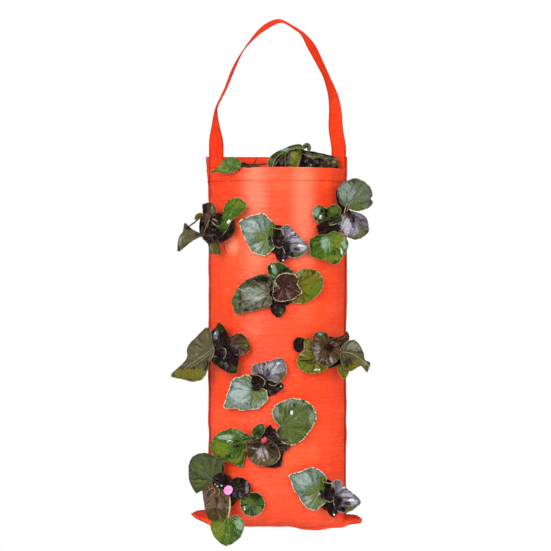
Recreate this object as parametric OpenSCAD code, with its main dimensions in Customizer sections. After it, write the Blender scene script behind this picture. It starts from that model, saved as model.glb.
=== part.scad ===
// Hanging grow bag: two woven panels sewn into a soft pouch, a webbing strap that
// hangs it from a hook, potting mix inside and young plants growing out of planting holes.
// Millimetres. The origin is the underside of the strap's crest, where the hook sits.
// +Z is up, +X is to the right as the planted face is seen, and that face looks along -Y.

/* [Bag] */
// Width of the filled pouch between its two side seams
pouch_w = 226; // [180:1:300]
// Depth of the filled pouch, front to back
pouch_d = 146; // [100:1:200]
// Height of the pouch from the front rim down to the bottom seam
pouch_h = 607; // [500:1:800]
// How far the back rim stands above the front rim
back_rise = 16; // [0:1:25]
// Thickness of the woven sheet
sheet_t = 0.9; // [0.6:0.1:1.6]
// Width of the hem folded over at each rim
hem_w = 25; // [15:1:40]
// Width of the seam allowance that stands out at each side
side_seam_w = 4.5; // [3:0.5:8]
// Height of the seam allowance below the bottom seam
bottom_seam_h = 8; // [5:0.5:14]
// Height over which the pouch rounds in under its belly
belly_h = 42; // [30:1:70]
// How far the sewn bottom corners lift above the middle of the bottom seam
ear_lift = 18; // [0:1:30]
// Extra sag of the bottom seam where the mix presses on it
seam_sag = 4; // [0:0.5:8]

/* [Strap] */
// Width of the webbing
strap_w = 25; // [20:0.5:32]
// Thickness of the webbing
strap_t = 1.6; // [1.2:0.1:2.4]
// Drop from the strap's crest to the top of its sewn ends
strap_drop = 212; // [180:1:260]
// Length of each sewn strap end above the back rim
tab_above_rim = 17; // [10:1:25]
// Length of each sewn strap end below the front rim
tab_below_rim = 25; // [15:1:40]

/* [Planting] */
// Diameter of the planting holes
hole_d = 46; // [40:1:52]
// Distance from each side seam to the middle of the holes beside it
hole_inset = 25; // [24:1:40]
// Room all round a root plug as it passes through its hole
plug_clear = 3; // [2:0.5:8]
// Diameter of the root plugs at their inner end
plug_tip_d = 28; // [20:1:32]
// Length of the root plugs
plug_len = 44; // [35:1:50]
// Diameter of each plant's crown
crown_d = 13; // [10:0.5:16]
// Diameter of the leaf stalks
stalk_d = 3; // [2:0.1:4]
// Thickness of the leaves
leaf_t = 1.2; // [0.8:0.1:1.6]
// Gap between the sewn strap ends and the top of the potting mix
fill_gap = 3; // [1:0.5:30]

/* [Hidden] */

// Gap left between soft pieces that lie against each other
fit = 0.3;
$fn = 48;

// Heights of the main lines
hinge_z = -strap_drop;
back_rim_z = hinge_z - tab_above_rim;
front_rim_z = back_rim_z - back_rise;
seam_z = front_rim_z - pouch_h;
tab_end_z = front_rim_z - tab_below_rim;
mix_top_z = tab_end_z - fill_gap;

half_w = pouch_w / 2;
half_d = pouch_d / 2;
plug_d = hole_d - 2 * plug_clear;

// The pouch's plan is a lens: depth falls from the middle to the side seams by this power
lens_power = 1.3;
lens_steps = 14;
function lens_x(a, t) = a * sin(t);
function lens_y(b, t) = b * pow(max(0, cos(t)), lens_power);
function lens_angle(j) = -90 + 180 * j / lens_steps;

// Length of half a panel's curve between the middle and the side seam, for a depth b
arc_steps = 24;
function half_arc(b) = sum_list([
    for (i = [0:arc_steps - 1])
        let (t0 = 90 * i / arc_steps, t1 = 90 * (i + 1) / arc_steps)
        norm([lens_x(half_w, t1) - lens_x(half_w, t0), lens_y(b, t1) - lens_y(b, t0)])
]);
function sum_list(v, i = 0) = i >= len(v) ? 0 : v[i] + sum_list(v, i + 1);

// Half the flat width that each panel was cut to
flat_half = half_arc(half_d) + side_seam_w;

// Rows of the panels: straight down the sides, then round under the belly to the bottom seam
belly_rows = 5;
side_rows = 8;
function side_row_z(top_z, i) = top_z + (seam_z + belly_h - top_z) * i / side_rows;
function belly_row_z(i) = seam_z + belly_h * (1 - sin(90 * i / belly_rows));
function belly_row_b(i) = half_d * cos(90 * i / belly_rows);

// Each row is [height, depth, weight of the corner lift, wall thickness]
hem_step = 1.5;
lift_start = 0.1;
function wall_rows(top_z) = concat(
    [[top_z, half_d, 0, 2 * sheet_t], [top_z - hem_w, half_d, 0, 2 * sheet_t]],
    [[top_z - hem_w - hem_step, half_d, 0, sheet_t]],
    [for (i = [1:side_rows]) [side_row_z(top_z, i), half_d, i == side_rows ? lift_start : 0, sheet_t]],
    [for (i = [1:belly_rows])
        [belly_row_z(i), belly_row_b(i), lift_start + (1 - lift_start) * i / belly_rows, sheet_t]],
    [[seam_z - bottom_seam_h, 0, 1, sheet_t]]
);

// Room between the two panels at the side seams, wider where the strap ends are caught
function seam_room(z) =
    z > tab_end_z ? strap_t + 2 * fit
    : z > tab_end_z - hem_w ? fit + (strap_t + fit) * (z - tab_end_z + hem_w) / hem_w
    : fit;

// The bottom seam's line across the bag
sag_place = 65;
sag_reach = 42;
ear_power = 3;
function seam_rise(x) = ear_lift * pow(abs(x) / flat_half, ear_power)
    - seam_sag * exp(-pow((x - sag_place) / sag_reach, 2));

// Points of one row of a panel's inner face, from the left edge to the right
function wall_row(row) =
    let (z = row[0], b = row[1], lift = row[2], edge = flat_half - (half_arc(b) - half_w),
         room = seam_room(z) / 2)
    concat(
        [[-edge, -room, z + lift * seam_rise(-edge)],
         [-(edge + half_w) / 2, -room, z + lift * seam_rise((edge + half_w) / -2)]],
        [for (j = [0:lens_steps])
            let (x = lens_x(half_w, lens_angle(j)))
            [x, -room - lens_y(b, lens_angle(j)), z + lift * seam_rise(x)]],
        [[(edge + half_w) / 2, -room, z + lift * seam_rise((edge + half_w) / 2)],
         [edge, -room, z + lift * seam_rise(edge)]]
    );

function unit(v) = v / max(norm(v), 0.000001);

// Turns a grid of inner points and a thickness per row into one closed sheet
module thick_sheet(grid, walls) {
    rows = len(grid);
    cols = len(grid[0]);
    outer = [
        for (i = [0:rows - 1])
            for (j = [0:cols - 1])
                let (
                    across = grid[i][min(j + 1, cols - 1)] - grid[i][max(j - 1, 0)],
                    down = grid[min(i + 1, rows - 1)][j] - grid[max(i - 1, 0)][j]
                )
                grid[i][j] + walls[i] * unit(cross(down, across))
    ];
    inner = [for (i = [0:rows - 1]) for (j = [0:cols - 1]) grid[i][j]];
    n = rows * cols;
    function at(i, j) = i * cols + j;
    faces = concat(
        [for (i = [0:rows - 2]) for (j = [0:cols - 2])
            each [[at(i, j), at(i, j + 1), at(i + 1, j + 1)], [at(i, j), at(i + 1, j + 1), at(i + 1, j)]]],
        [for (i = [0:rows - 2]) for (j = [0:cols - 2])
            each [[n + at(i, j), n + at(i + 1, j + 1), n + at(i, j + 1)],
                  [n + at(i, j), n + at(i + 1, j), n + at(i + 1, j + 1)]]],
        [for (j = [0:cols - 2])
            each [[at(0, j), n + at(0, j + 1), at(0, j + 1)], [at(0, j), n + at(0, j), n + at(0, j + 1)]]],
        [for (j = [0:cols - 2])
            each [[at(rows - 1, j), at(rows - 1, j + 1), n + at(rows - 1, j + 1)],
                  [at(rows - 1, j), n + at(rows - 1, j + 1), n + at(rows - 1, j)]]],
        [for (i = [0:rows - 2])
            each [[at(i, 0), at(i + 1, 0), n + at(i + 1, 0)], [at(i, 0), n + at(i + 1, 0), n + at(i, 0)]]],
        [for (i = [0:rows - 2])
            each [[at(i, cols - 1), n + at(i + 1, cols - 1), at(i + 1, cols - 1)],
                  [at(i, cols - 1), n + at(i, cols - 1), n + at(i + 1, cols - 1)]]]
    );
    polyhedron(concat(outer, inner), faces, convexity = 6);
}

module panel_sheet(top_z) {
    rows = wall_rows(top_z);
    thick_sheet([for (row = rows) wall_row(row)], [for (row = rows) row[3]]);
}

// Planting holes in the front panel: [column, shift across, distance]. Column is -1 or 1 beside a
// side seam and 0 in the middle. Distance is below the front rim, or if negative above the bottom seam.
HOLE_PLACES = [
    [-1, 0, 101], [0, 0, 122], [1, 0, 97], [0, 8, 207], [-1, 0, 309],
    [1, 2, 312], [0, -18, -244], [0, -14, -138], [-1, 4, -55], [1, -2, -49]
];
// Where the holes' middles are, as [across, up]
HOLES = [
    for (h = HOLE_PLACES)
        [h[0] * (half_w - hole_inset) + h[1], h[2] > 0 ? front_rim_z - h[2] : seam_z - h[2]]
];
// Depth of the pouch's outer face in front of the seam plane, at a place across it
function face_y(x) = sheet_t + half_d * pow(max(0, 1 - pow(x / half_w, 2)), lens_power / 2);
// Angle by which the face turns away from straight ahead at a hole
function face_turn(x) =
    atan(half_d * lens_power * x / pow(half_w, 2) * pow(1 - pow(x / half_w, 2), lens_power / 2 - 1));

// Carries a hole's frame: the hole's middle on the panel, with +Z pointing straight out of it
module at_hole(i) {
    translate([HOLES[i][0], -face_y(HOLES[i][0]), HOLES[i][1]])
        rotate([90, 0, face_turn(HOLES[i][0])])
            children();
}

hole_reach = 16;
module planting_hole(i) {
    at_hole(i) translate([0, 0, -hole_reach]) cylinder(d = hole_d, h = 2 * hole_reach);
}

module front_panel() {
    color("orangered") difference() {
        panel_sheet(front_rim_z);
        for (i = [0:len(HOLES) - 1]) planting_hole(i);
    }
}

module back_panel() {
    color("orangered") mirror([0, 1, 0]) panel_sheet(back_rim_z);
}

// The strap's route in its own upright plane, as [across, up], from the left end to the right
STRAP_ROUTE = [
    [-104, -212], [-105, -182], [-105, -158], [-102, -142], [-88, -114], [-74, -79], [-57, -48],
    [-36, -23], [-18, -8], [0, 0], [13, -2], [30, -12], [43, -22], [57, -42],
    [70, -67], [83, -94], [94, -125], [98, -152], [99, -182], [104, -212]
];
// How far the webbing has turned edge-on at each point of the route, in degrees
STRAP_TURN = [0, 50, 73, 82, 80, 78, 86, 75, 67, 71, 80, 78, 73, 56, 59, 63, 48, 30, 10, 0];
strap_substeps = 2;

function spline(p0, p1, p2, p3, t) =
    0.5 * (2 * p1 + (p2 - p0) * t + (2 * p0 - 5 * p1 + 4 * p2 - p3) * pow(t, 2)
        + (3 * p1 - p0 - 3 * p2 + p3) * pow(t, 3));
function along(v, s) =
    let (last = len(v) - 1, i = min(floor(s), last - 1))
    spline(v[max(i - 1, 0)], v[i], v[i + 1], v[min(i + 2, last)], s - i);

// The strap ends are caught in the side seams, just inside their outer edges
strap_edge_in = 1;
strap_end_x = half_w + side_seam_w - strap_edge_in - strap_w / 2;
// The route is fitted to the strap ends, and stops just clear of their rounded tops
end_clear = strap_t / 2 + fit;
function route_at(s) =
    let (p = along(STRAP_ROUTE, s), foot = STRAP_ROUTE[0])
    [-p[0] * strap_end_x / foot[0], max(-p[1] * strap_drop / foot[1] + strap_t / 2, hinge_z + end_clear)];

function strap_ring(s) =
    let (
        d = 0.05,
        ahead = route_at(min(s + d, len(STRAP_ROUTE) - 1)),
        behind = route_at(max(s - d, 0)),
        last = len(STRAP_ROUTE) - 1,
        dir = s <= 0 ? [0, 1] : s >= last ? [0, -1] : unit(ahead - behind),
        turn = along(STRAP_TURN, s),
        outward = [-dir[1], 0, dir[0]],
        back = [0, 1, 0],
        wide = cos(turn) * outward + sin(turn) * back,
        thick = sin(turn) * outward - cos(turn) * back,
        c = route_at(s),
        mid = [c[0], 0, c[1]]
    )
    [
        mid + wide * strap_w / 2 - thick * strap_t / 2,
        mid - wide * strap_w / 2 - thick * strap_t / 2,
        mid - wide * strap_w / 2 + thick * strap_t / 2,
        mid + wide * strap_w / 2 + thick * strap_t / 2
    ];

// A closed tube of four sides through rings of four points
module four_sided_tube(rings) {
    last = len(rings) - 1;
    faces = concat(
        [for (i = [0:last - 1]) for (k = [0:3])
            let (a = 4 * i + k, b = 4 * i + (k + 1) % 4, c = b + 4, d = a + 4)
            each [[a, b, c], [a, c, d]]],
        [[0, 3, 2], [0, 2, 1]],
        [[4 * last, 4 * last + 1, 4 * last + 2], [4 * last, 4 * last + 2, 4 * last + 3]]
    );
    polyhedron([for (r = rings) each r], faces, convexity = 6);
}

module strap() {
    steps = (len(STRAP_ROUTE) - 1) * strap_substeps;
    color("tomato") four_sided_tube([for (i = [0:steps]) strap_ring(i / strap_substeps)]);
}

// A sewn strap end, flat between the panels, with a rounded top that the strap bends over
module strap_end(side) {
    len_down = hinge_z - tab_end_z;
    translate([side * strap_end_x, 0, 0]) {
        translate([-strap_w / 2, -strap_t / 2, tab_end_z]) cube([strap_w, strap_t, len_down]);
        translate([-strap_w / 2, 0, hinge_z]) rotate([0, 90, 0]) cylinder(d = strap_t, h = strap_w);
    }
}

module strap_end_left() {
    color("tomato") strap_end(-1);
}

module strap_end_right() {
    color("tomato") strap_end(1);
}

// Room between the mix and the panels
mix_gap = 0.7;
mix_side_gap = 2.2;
mix_rows = 6;
mix_floor_row = 5;
module potting_mix() {
    // Each ring is [height, depth, weight of the corner lift], as in the panels' rows
    rings_at = concat(
        [for (i = [0:mix_rows])
            [mix_top_z + (seam_z + belly_h - mix_top_z) * i / mix_rows, half_d, i == mix_rows ? lift_start : 0]],
        [for (i = [1:mix_floor_row - 1])
            [belly_row_z(i) + mix_gap, belly_row_b(i), lift_start + (1 - lift_start) * i / belly_rows]]
    );
    a = half_w - mix_side_gap;
    rings = [
        for (h = rings_at)
            let (b = h[1] - mix_gap, side = [for (j = [0:lens_steps])
                let (x = lens_x(a, lens_angle(j)))
                [x, lens_y(b, lens_angle(j)), h[0] + h[2] * seam_rise(x)]])
            concat(
                [for (j = [0:lens_steps]) [side[j][0], -side[j][1], side[j][2]]],
                [for (j = [lens_steps - 1:-1:1]) side[j]]
            )
    ];
    n = len(rings[0]);
    m = len(rings);
    floor_start = (m - 1) * n;
    color("saddlebrown") difference() {
        polyhedron(
            [for (r = rings) each r],
            concat(
                [[for (k = [0:n - 1]) n - 1 - k]],
                [for (j = [0:lens_steps - 2]) [floor_start + j, floor_start + j + 1, floor_start + n - j - 1]],
                [for (j = [1:lens_steps - 1]) [floor_start + j, floor_start + n - j - 1, floor_start + n - j]],
                [for (i = [0:m - 2]) for (k = [0:n - 1])
                    let (p = i * n + k, q = i * n + (k + 1) % n)
                    each [[p, q, q + n], [p, q + n, p + n]]]
            ),
            convexity = 4
        );
        for (i = [0:len(HOLES) - 1]) plug_pocket(i);
    }
}

// Root plugs stand in pockets in the mix, a little behind the face of the panel
plug_set_back = 3;
module plug_pocket(i) {
    at_hole(i) translate([0, 0, -plug_set_back - plug_len - fit])
        cylinder(d1 = plug_tip_d + 2 * fit, d2 = plug_d + 2 * fit, h = plug_len + fit);
    at_hole(i) translate([0, 0, -plug_set_back - fit / 2])
        cylinder(d = plug_d + 2 * fit, h = hole_reach);
}

module root_plug(i) {
    color("sienna") at_hole(i) translate([0, 0, -plug_set_back - plug_len])
        cylinder(d1 = plug_tip_d, d2 = plug_d, h = plug_len);
}

// Leaves are described from their plant's crown as seen from the front:
// [across, up, length, width, way the tip points, stand-off from the bag, lean of the tip]
LEAVES = [
    [
        [16, 34, 48, 30, 35, 10, 4], [-28, 27, 34, 20, 100, 9, 4], [-49, 19, 17, 12, 170, 7, 0],
        [-61, -17, 50, 22, 226, 6, 2], [-23, -31, 30, 26, 270, 8, 3], [4, -9, 27, 17, 5, 14, 3]
    ],
    [[-35, 8, 64, 58, 160, 9, 5], [1, 5, 28, 17, 80, 16, 3], [30, -3, 50, 46, 340, 9, 5], [6, -24, 28, 15, 290, 12, 3]],
    [
        [44, 51, 58, 52, 50, 8, 6], [42, 0, 54, 46, 340, 12, 4], [-6, 17, 49, 36, 190, 14, 4],
        [0, -39, 62, 56, 270, 10, 5]
    ],
    [
        [-51, -8, 68, 62, 180, 9, 5], [-7, 32, 42, 22, 60, 8, 3], [9, 5, 52, 46, 350, 18, 4],
        [48, 7, 56, 52, 10, 8, 4], [-7, -32, 26, 22, 265, 9, 3]
    ],
    [[-49, -12, 92, 48, 245, 10, 4], [-8, 27, 41, 22, 100, 12, 3], [26, 8, 38, 34, 0, 9, 3], [0, -19, 44, 38, 290, 14, 3]],
    [
        [-55, 12, 24, 17, 170, 8, 2], [-36, -14, 46, 32, 200, 9, 3], [-7, 3, 58, 46, 100, 18, 4],
        [40, -7, 56, 46, 330, 9, 4], [20, 24, 24, 18, 80, 8, 2], [21, -34, 24, 18, 270, 8, 2]
    ],
    [[-36, -19, 70, 58, 190, 9, 5], [-15, 2, 28, 18, 140, 16, 3], [7, 19, 56, 42, 40, 9, 4], [14, -8, 30, 16, 350, 14, 3]],
    [[-68, -5, 68, 60, 185, 14, 5], [-19, 22, 26, 22, 110, 9, 2], [-8, -21, 45, 42, 270, 14, 3], [44, 37, 76, 72, 55, 10, 5]],
    [
        [-37, 34, 64, 60, 130, 6, 3], [-12, 20, 26, 20, 150, 14, 2], [-22, -19, 52, 44, 260, 12, 4],
        [22, 7, 36, 34, 20, 10, 2], [43, -20, 41, 40, 330, 9, 3], [-2, -66, 58, 48, 270, 10, 4]
    ],
    [[-35, 10, 64, 58, 160, 9, 5], [1, 5, 28, 17, 80, 16, 3], [30, -3, 50, 46, 340, 9, 5], [6, -24, 28, 15, 290, 12, 3]]
];

// The leaves lie over a softer, wider curve than the pouch itself
drape_spread = 30;
drape_power = 0.6;
function drape_y(x) = half_d * pow(max(0, 1 - pow(x / (half_w + drape_spread), 2)), drape_power);

leaf_sides = 10;
leaf_cup = 0.06;
// Distance in front of the seam plane of a leaf's point, u and v running along and across the leaf
function leaf_y(leaf, hug, u, v, x) =
    sheet_t + hug * drape_y(x) + leaf[5] + leaf[6] * 2 * u / leaf[2]
        + leaf_cup * leaf[3] * (pow(2 * u / leaf[2], 2) + pow(2 * v / leaf[3], 2) - 0.5);
// A leaf's outline is an oval, a little wider towards the stalk
leaf_taper = 0.18;
function leaf_point(root, leaf, hug, share, angle) =
    let (
        u = share * leaf[2] / 2 * cos(angle),
        v = share * leaf[3] / 2 * sin(angle) * (1 - leaf_taper * cos(angle)),
        x = root[0] + leaf[0] + u * cos(leaf[4]) - v * sin(leaf[4]),
        z = root[1] + leaf[1] + u * sin(leaf[4]) + v * cos(leaf[4])
    )
    [x, -leaf_y(leaf, hug, u, v, x), z];

module leaf_blade(root, leaf, hug) {
    s = leaf_sides;
    ring = [for (k = [0:s - 1]) leaf_point(root, leaf, hug, 1, 360 * k / s)];
    inner = [for (k = [0:s - 1]) leaf_point(root, leaf, hug, 0.5, 360 * k / s)];
    front = concat([leaf_point(root, leaf, hug, 0, 0)], inner, ring);
    back = [for (p = front) p + [0, leaf_t, 0]];
    n = len(front);
    function one(k) = 1 + k % s;
    function two(k) = 1 + s + k % s;
    faces = concat(
        [for (k = [0:s - 1]) [0, one(k + 1), one(k)]],
        [for (k = [0:s - 1]) each [[one(k), one(k + 1), two(k + 1)], [one(k), two(k + 1), two(k)]]],
        [for (k = [0:s - 1]) [n, n + one(k), n + one(k + 1)]],
        [for (k = [0:s - 1]) each [
            [n + one(k), n + two(k + 1), n + one(k + 1)], [n + one(k), n + two(k), n + two(k + 1)]]],
        [for (k = [0:s - 1]) each [[two(k), two(k + 1), n + two(k + 1)], [two(k), n + two(k + 1), n + two(k)]]]
    );
    polyhedron(concat(front, back), faces, convexity = 4);
}

// A leaf stalk: two straight stretches that thin towards the leaf
stalk_thin = 0.75;
module knot(p, share) {
    translate(p) sphere(d = stalk_d * share, $fn = 4);
}

module stalk(from, via, to) {
    hull() {
        knot(from, 1.2);
        knot(via, 1);
    }
    hull() {
        knot(via, 1);
        knot(to, stalk_thin);
    }
}

// Where a leaf's stalk joins its blade: towards the foot of the leaf, halfway through its thickness
stalk_share = 0.55;
function stalk_foot(root, leaf, hug) =
    leaf_point(root, leaf, hug, stalk_share, 180) + [0, leaf_t / 2, 0];

// How far the crown stands out of the hole, and how far the stalks bow away from the bag
crown_out = 6;
stalk_bow = 2;
module plant(i) {
    heart = crown_heart(i);
    color("olivedrab") {
        at_hole(i) translate([0, 0, -plug_set_back]) cylinder(d = crown_d, h = plug_set_back + crown_out, $fn = 8);
        translate(heart) sphere(d = crown_d, $fn = 8);
        for (leaf = LEAVES[i]) {
            foot = stalk_foot(HOLES[i], leaf, 1);
            leaf_blade(HOLES[i], leaf, 1);
            stalk(heart, (heart + foot) / 2 - [0, stalk_bow, 0], foot);
        }
    }
}

// Plants that grow from the top of the mix: [across, forward] of the crown, and how far forward
// their leaves stand as a share of the pouch's depth
TOP_ROOTS = [[-62, -42], [8, -10], [60, -4]];
TOP_HUG = [1, 0.2, 0.1];
TOP_LEAVES = [
    [[-25, 32, 54, 30, 200, 6, -2], [-20, 22, 22, 14, 160, -30, 0], [-3, 28, 24, 14, 80, -22, 0], [13, 24, 24, 15, 30, -18, 0]],
    [[8, 45, 58, 40, 60, 8, 4], [26, 30, 26, 16, 40, 5, 2], [-20, 27, 30, 16, 170, 2, 2], [4, 20, 26, 16, 330, -5, 2]],
    [[0, 38, 32, 20, 100, -2, 2], [22, 32, 32, 20, 40, 3, 2], [-14, 24, 24, 16, 160, -3, 2], [16, 20, 26, 16, 330, 8, 2]]
];
rim_over = 7;
module top_plant(i) {
    root = [TOP_ROOTS[i][0], mix_top_z];
    heart = [root[0], TOP_ROOTS[i][1], mix_top_z + crown_d / 4];
    color("darkolivegreen") {
        translate([heart[0], heart[1], mix_top_z + fit]) cylinder(d = crown_d, h = crown_d / 4, $fn = 8);
        for (leaf = TOP_LEAVES[i]) {
            foot = stalk_foot(root, leaf, TOP_HUG[i]);
            over = [(heart[0] + foot[0]) / 2, (heart[1] + foot[1]) / 2, max(front_rim_z + rim_over, foot[2])];
            leaf_blade(root, leaf, TOP_HUG[i]);
            stalk(heart, leaf[5] > 4 ? over : (heart + foot) / 2, foot);
        }
    }
}

module top_plant_left() {
    top_plant(0);
}

module top_plant_middle() {
    top_plant(1);
}

module top_plant_right() {
    top_plant(2);
}

// An open flower at the ninth hole and a closed bud at the eighth, each on a stalk from its crown:
// [across, forward, up] from the middle of the crown
flower_at = [2, 24, 7];
petal_len = 9;
petal_w = 7;
petal_count = 4;
bud_at = [-8, 18, 11];
bud_d = 8;
function crown_heart(i) =
    let (x = HOLES[i][0], turn = face_turn(x))
    [x, -face_y(x), HOLES[i][1]] + crown_out * [sin(turn), -cos(turn), 0];
module flower_stalk(i, head) {
    heart = crown_heart(i);
    tip = heart + [head[0], -head[1], head[2]];
    foot = heart + unit(tip - heart) * (crown_d / 2 + fit);
    hull() {
        knot(foot, stalk_thin);
        knot(tip, stalk_thin);
    }
}

module flower_petals() {
    color("hotpink") {
        flower_stalk(8, flower_at);
        translate(crown_heart(8) + [flower_at[0], -flower_at[1], flower_at[2]]) rotate([90, 0, 0])
            for (k = [0:petal_count - 1])
                rotate(45 + 360 * k / petal_count) translate([petal_len / 3, 0, 0])
                    scale([petal_len / petal_w, 1, 1]) cylinder(d = petal_w, h = leaf_t, $fn = 12);
    }
}

module flower_bud() {
    color("palevioletred") {
        flower_stalk(7, bud_at);
        translate(crown_heart(7) + [bud_at[0], -bud_at[1], bud_at[2]]) sphere(d = bud_d, $fn = 12);
    }
}

strap();
strap_end_left();
strap_end_right();
front_panel();
back_panel();
potting_mix();
root_plug(0);  // root_plug_1
root_plug(1);  // root_plug_2
root_plug(2);  // root_plug_3
root_plug(3);  // root_plug_4
root_plug(4);  // root_plug_5
root_plug(5);  // root_plug_6
root_plug(6);  // root_plug_7
root_plug(7);  // root_plug_8
root_plug(8);  // root_plug_9
root_plug(9);  // root_plug_10
plant(0);  // plant_1
plant(1);  // plant_2
plant(2);  // plant_3
plant(3);  // plant_4
plant(4);  // plant_5
plant(5);  // plant_6
plant(6);  // plant_7
plant(7);  // plant_8
plant(8);  // plant_9
plant(9);  // plant_10
top_plant_left();
top_plant_middle();
top_plant_right();
flower_petals();
flower_bud();
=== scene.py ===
"""Dressed model of a hanging grow bag.

A woven pouch hangs from a looped strap. It is filled with potting mix, and young plants grow out of
its planting holes and its mouth. Shapes are worked out in millimetres and become metres in the mesh.
"""

import logging
import math
from dataclasses import dataclass, field
from enum import Enum
from typing import ClassVar, Sequence

import bpy
import numpy as np
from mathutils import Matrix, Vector


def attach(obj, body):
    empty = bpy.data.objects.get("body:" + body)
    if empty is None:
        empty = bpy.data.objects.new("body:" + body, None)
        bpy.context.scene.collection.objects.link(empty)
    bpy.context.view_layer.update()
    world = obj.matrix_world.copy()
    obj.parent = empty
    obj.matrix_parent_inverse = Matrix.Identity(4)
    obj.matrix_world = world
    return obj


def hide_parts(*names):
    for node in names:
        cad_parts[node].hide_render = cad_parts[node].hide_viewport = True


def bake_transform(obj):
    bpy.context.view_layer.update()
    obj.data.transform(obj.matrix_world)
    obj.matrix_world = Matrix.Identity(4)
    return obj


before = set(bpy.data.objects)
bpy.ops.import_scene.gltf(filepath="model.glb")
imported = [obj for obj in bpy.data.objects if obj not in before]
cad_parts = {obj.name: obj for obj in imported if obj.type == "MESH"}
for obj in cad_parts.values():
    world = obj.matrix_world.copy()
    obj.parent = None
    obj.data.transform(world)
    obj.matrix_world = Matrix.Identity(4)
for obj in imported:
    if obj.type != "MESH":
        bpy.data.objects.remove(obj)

Array = np.ndarray
Colour = tuple[int, int, int]
Socket = bpy.types.NodeSocket
Inputs = dict[str | int, object]
Pair = tuple[float, float]
Triple = tuple[float, float, float]

log = logging.getLogger("grow_bag")

MM = 0.001

# The bag's main sizes, as in the part's source
HALF_W = 113.0
HALF_D = 73.0
LENS_POWER = 1.3
FLANGE = 4.5
FRONT_RIM = -245.0
BACK_RIM = -229.0
SEAM_Z = -852.0
SEAM_TAIL = 8.0
BELLY = 42.0
HEM = 25.0
HINGE_Z = -212.0
TAB_END = -270.0
MIX_TOP = -273.0
SHEET_WALL = 0.9
STRAP_W = 25.0
STRAP_T = 1.6
STRAP_X = 104.0
FIT = 0.3
LIFT_RUN = 70.0
LIFT_START = 0.1
EAR_LIFT = 18.0
SEAM_SAG = 4.0
SAG_PLACE = 65.0
SAG_REACH = 42.0
HOLE_R = 23.0

# The hem's row of thread, above the hem's end
HEM_STITCH = 2.5

# The ears at the bottom corners: height of the middle over the seam, half height and power of the
# rounding, reach past the pouch at the right and left, reach of their painted shade, and what the
# right one is lower by
EAR_MID = 2.0
EAR_HALF = 16.5
EAR_POWER = 0.28
EAR_REACH = (26.0, 30.0)
EAR_SHADE = 29.0
EAR_LESS = 3.5

# Half width and power of the curve that the leaves are draped over, how far a blade stays clear of
# the pouch, and how much less past the rim
DRAPE_W = 178.0
DRAPE_POWER = 0.95
BLADE_CLEAR = 2.2
PAST_RIM = 40.0

# A direction that no tube's path runs along
OBLIQUE = np.array([0.31, 0.87, 0.38])

# Points round a blade, rings in it, its thickness, the depth of its rim's scallops as a share of its
# size, and the rise of its skin between the veins
BLADE_POINTS = 88
BLADE_RINGS = 18
BLADE_WALL = 0.9
BLADE_SCALLOP = 0.022
BLADE_QUILT = 1.5

# How near in the view a blade's point must be for a bare stem to lie on it, in pixels
STEM_REACH = 1.6

# The camera's stand: distance, height angle, and the middle and scale of its frame
VIEW_DISTANCE = 5000.0
VIEW_ANGLE = math.radians(2.0)
VIEW_X = -3.4
VIEW_Z = -430.4
VIEW_MID = 275.5
VIEW_SCALE = 1.7
VIEW_WIDTH = 937.0


def ramp(low: float, high: float, value: Array) -> Array:
    """Smooth step: 0 below low, 1 above high, and 3t^2 - 2t^3 between.

    Args:
        low: value where the step starts.
        high: value where the step ends.
        value: numbers to step.

    Returns:
        The stepped numbers, from 0 to 1.
    """
    t = np.clip((value - low) / (high - low), 0.0, 1.0)
    return t * t * (3.0 - 2.0 * t)


def bell(value: Array, middle: float, width: float) -> Array:
    """Bell curve: e to the minus square of the distance from the middle, counted in widths."""
    return np.exp(-(((value - middle) / width) ** 2))


def soft_field(a: Array, b: Array, seed: int) -> Array:
    """Smooth random field: lattice values blended by the curve 6t^5 - 15t^4 + 10t^3.

    Args:
        a: first coordinate, one lattice cell per unit.
        b: second coordinate, one lattice cell per unit.
        seed: picks the lattice.

    Returns:
        Values from -1 to 1, of the shape of a and b together.
    """
    size = 64
    table = np.random.default_rng(seed).uniform(-1.0, 1.0, (size, size))
    a, b = np.broadcast_arrays(np.asarray(a, float), np.asarray(b, float))
    i, j = np.floor(a).astype(int), np.floor(b).astype(int)
    s, t = a - i, b - j
    s, t = (w * w * w * (w * (w * 6.0 - 15.0) + 10.0) for w in (s, t))
    i, j, k, m = i % size, j % size, (i + 1) % size, (j + 1) % size
    low = table[i, j] * (1.0 - s) + table[k, j] * s
    high = table[i, m] * (1.0 - s) + table[k, m] * s
    return low * (1.0 - t) + high * t


def ridges(a: Array, b: Array, seed: int) -> Array:
    """Sharp-topped creases: one less twice the size of a soft field."""
    return 1.0 - 2.0 * np.abs(soft_field(a, b, seed))


def unit(v: Array) -> Array:
    """Vectors along the last axis, brought to length one."""
    return v / np.maximum(np.linalg.norm(v, axis=-1, keepdims=True), 1e-9)


def spline(knots: Array, t: Array) -> Array:
    """Catmull-Rom curve through knots: the usual cubic of the two knots on each side of t.

    Args:
        knots: points or numbers, one per row.
        t: places along the curve, counted in knots.

    Returns:
        One point for each t.
    """
    last = len(knots) - 1
    i = np.clip(np.floor(t).astype(int), 0, last - 1)
    f = (t - i).reshape(-1, *([1] * (knots.ndim - 1)))
    p0, p1 = knots[np.maximum(i - 1, 0)], knots[i]
    p2, p3 = knots[i + 1], knots[np.minimum(i + 2, last)]
    bend = 2.0 * p0 - 5.0 * p1 + 4.0 * p2 - p3
    return 0.5 * (2.0 * p1 + (p2 - p0) * f + bend * f**2 + (3.0 * p1 - p0 - 3.0 * p2 + p3) * f**3)


def closed_spline(knots: Array, count: int) -> Array:
    """Smooth closed curve through knots, as count points evenly spread from knot to knot."""
    ring = np.vstack([knots[-1:], knots, knots[:3]])
    return spline(ring, 1.0 + len(knots) * np.arange(count) / count)


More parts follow.
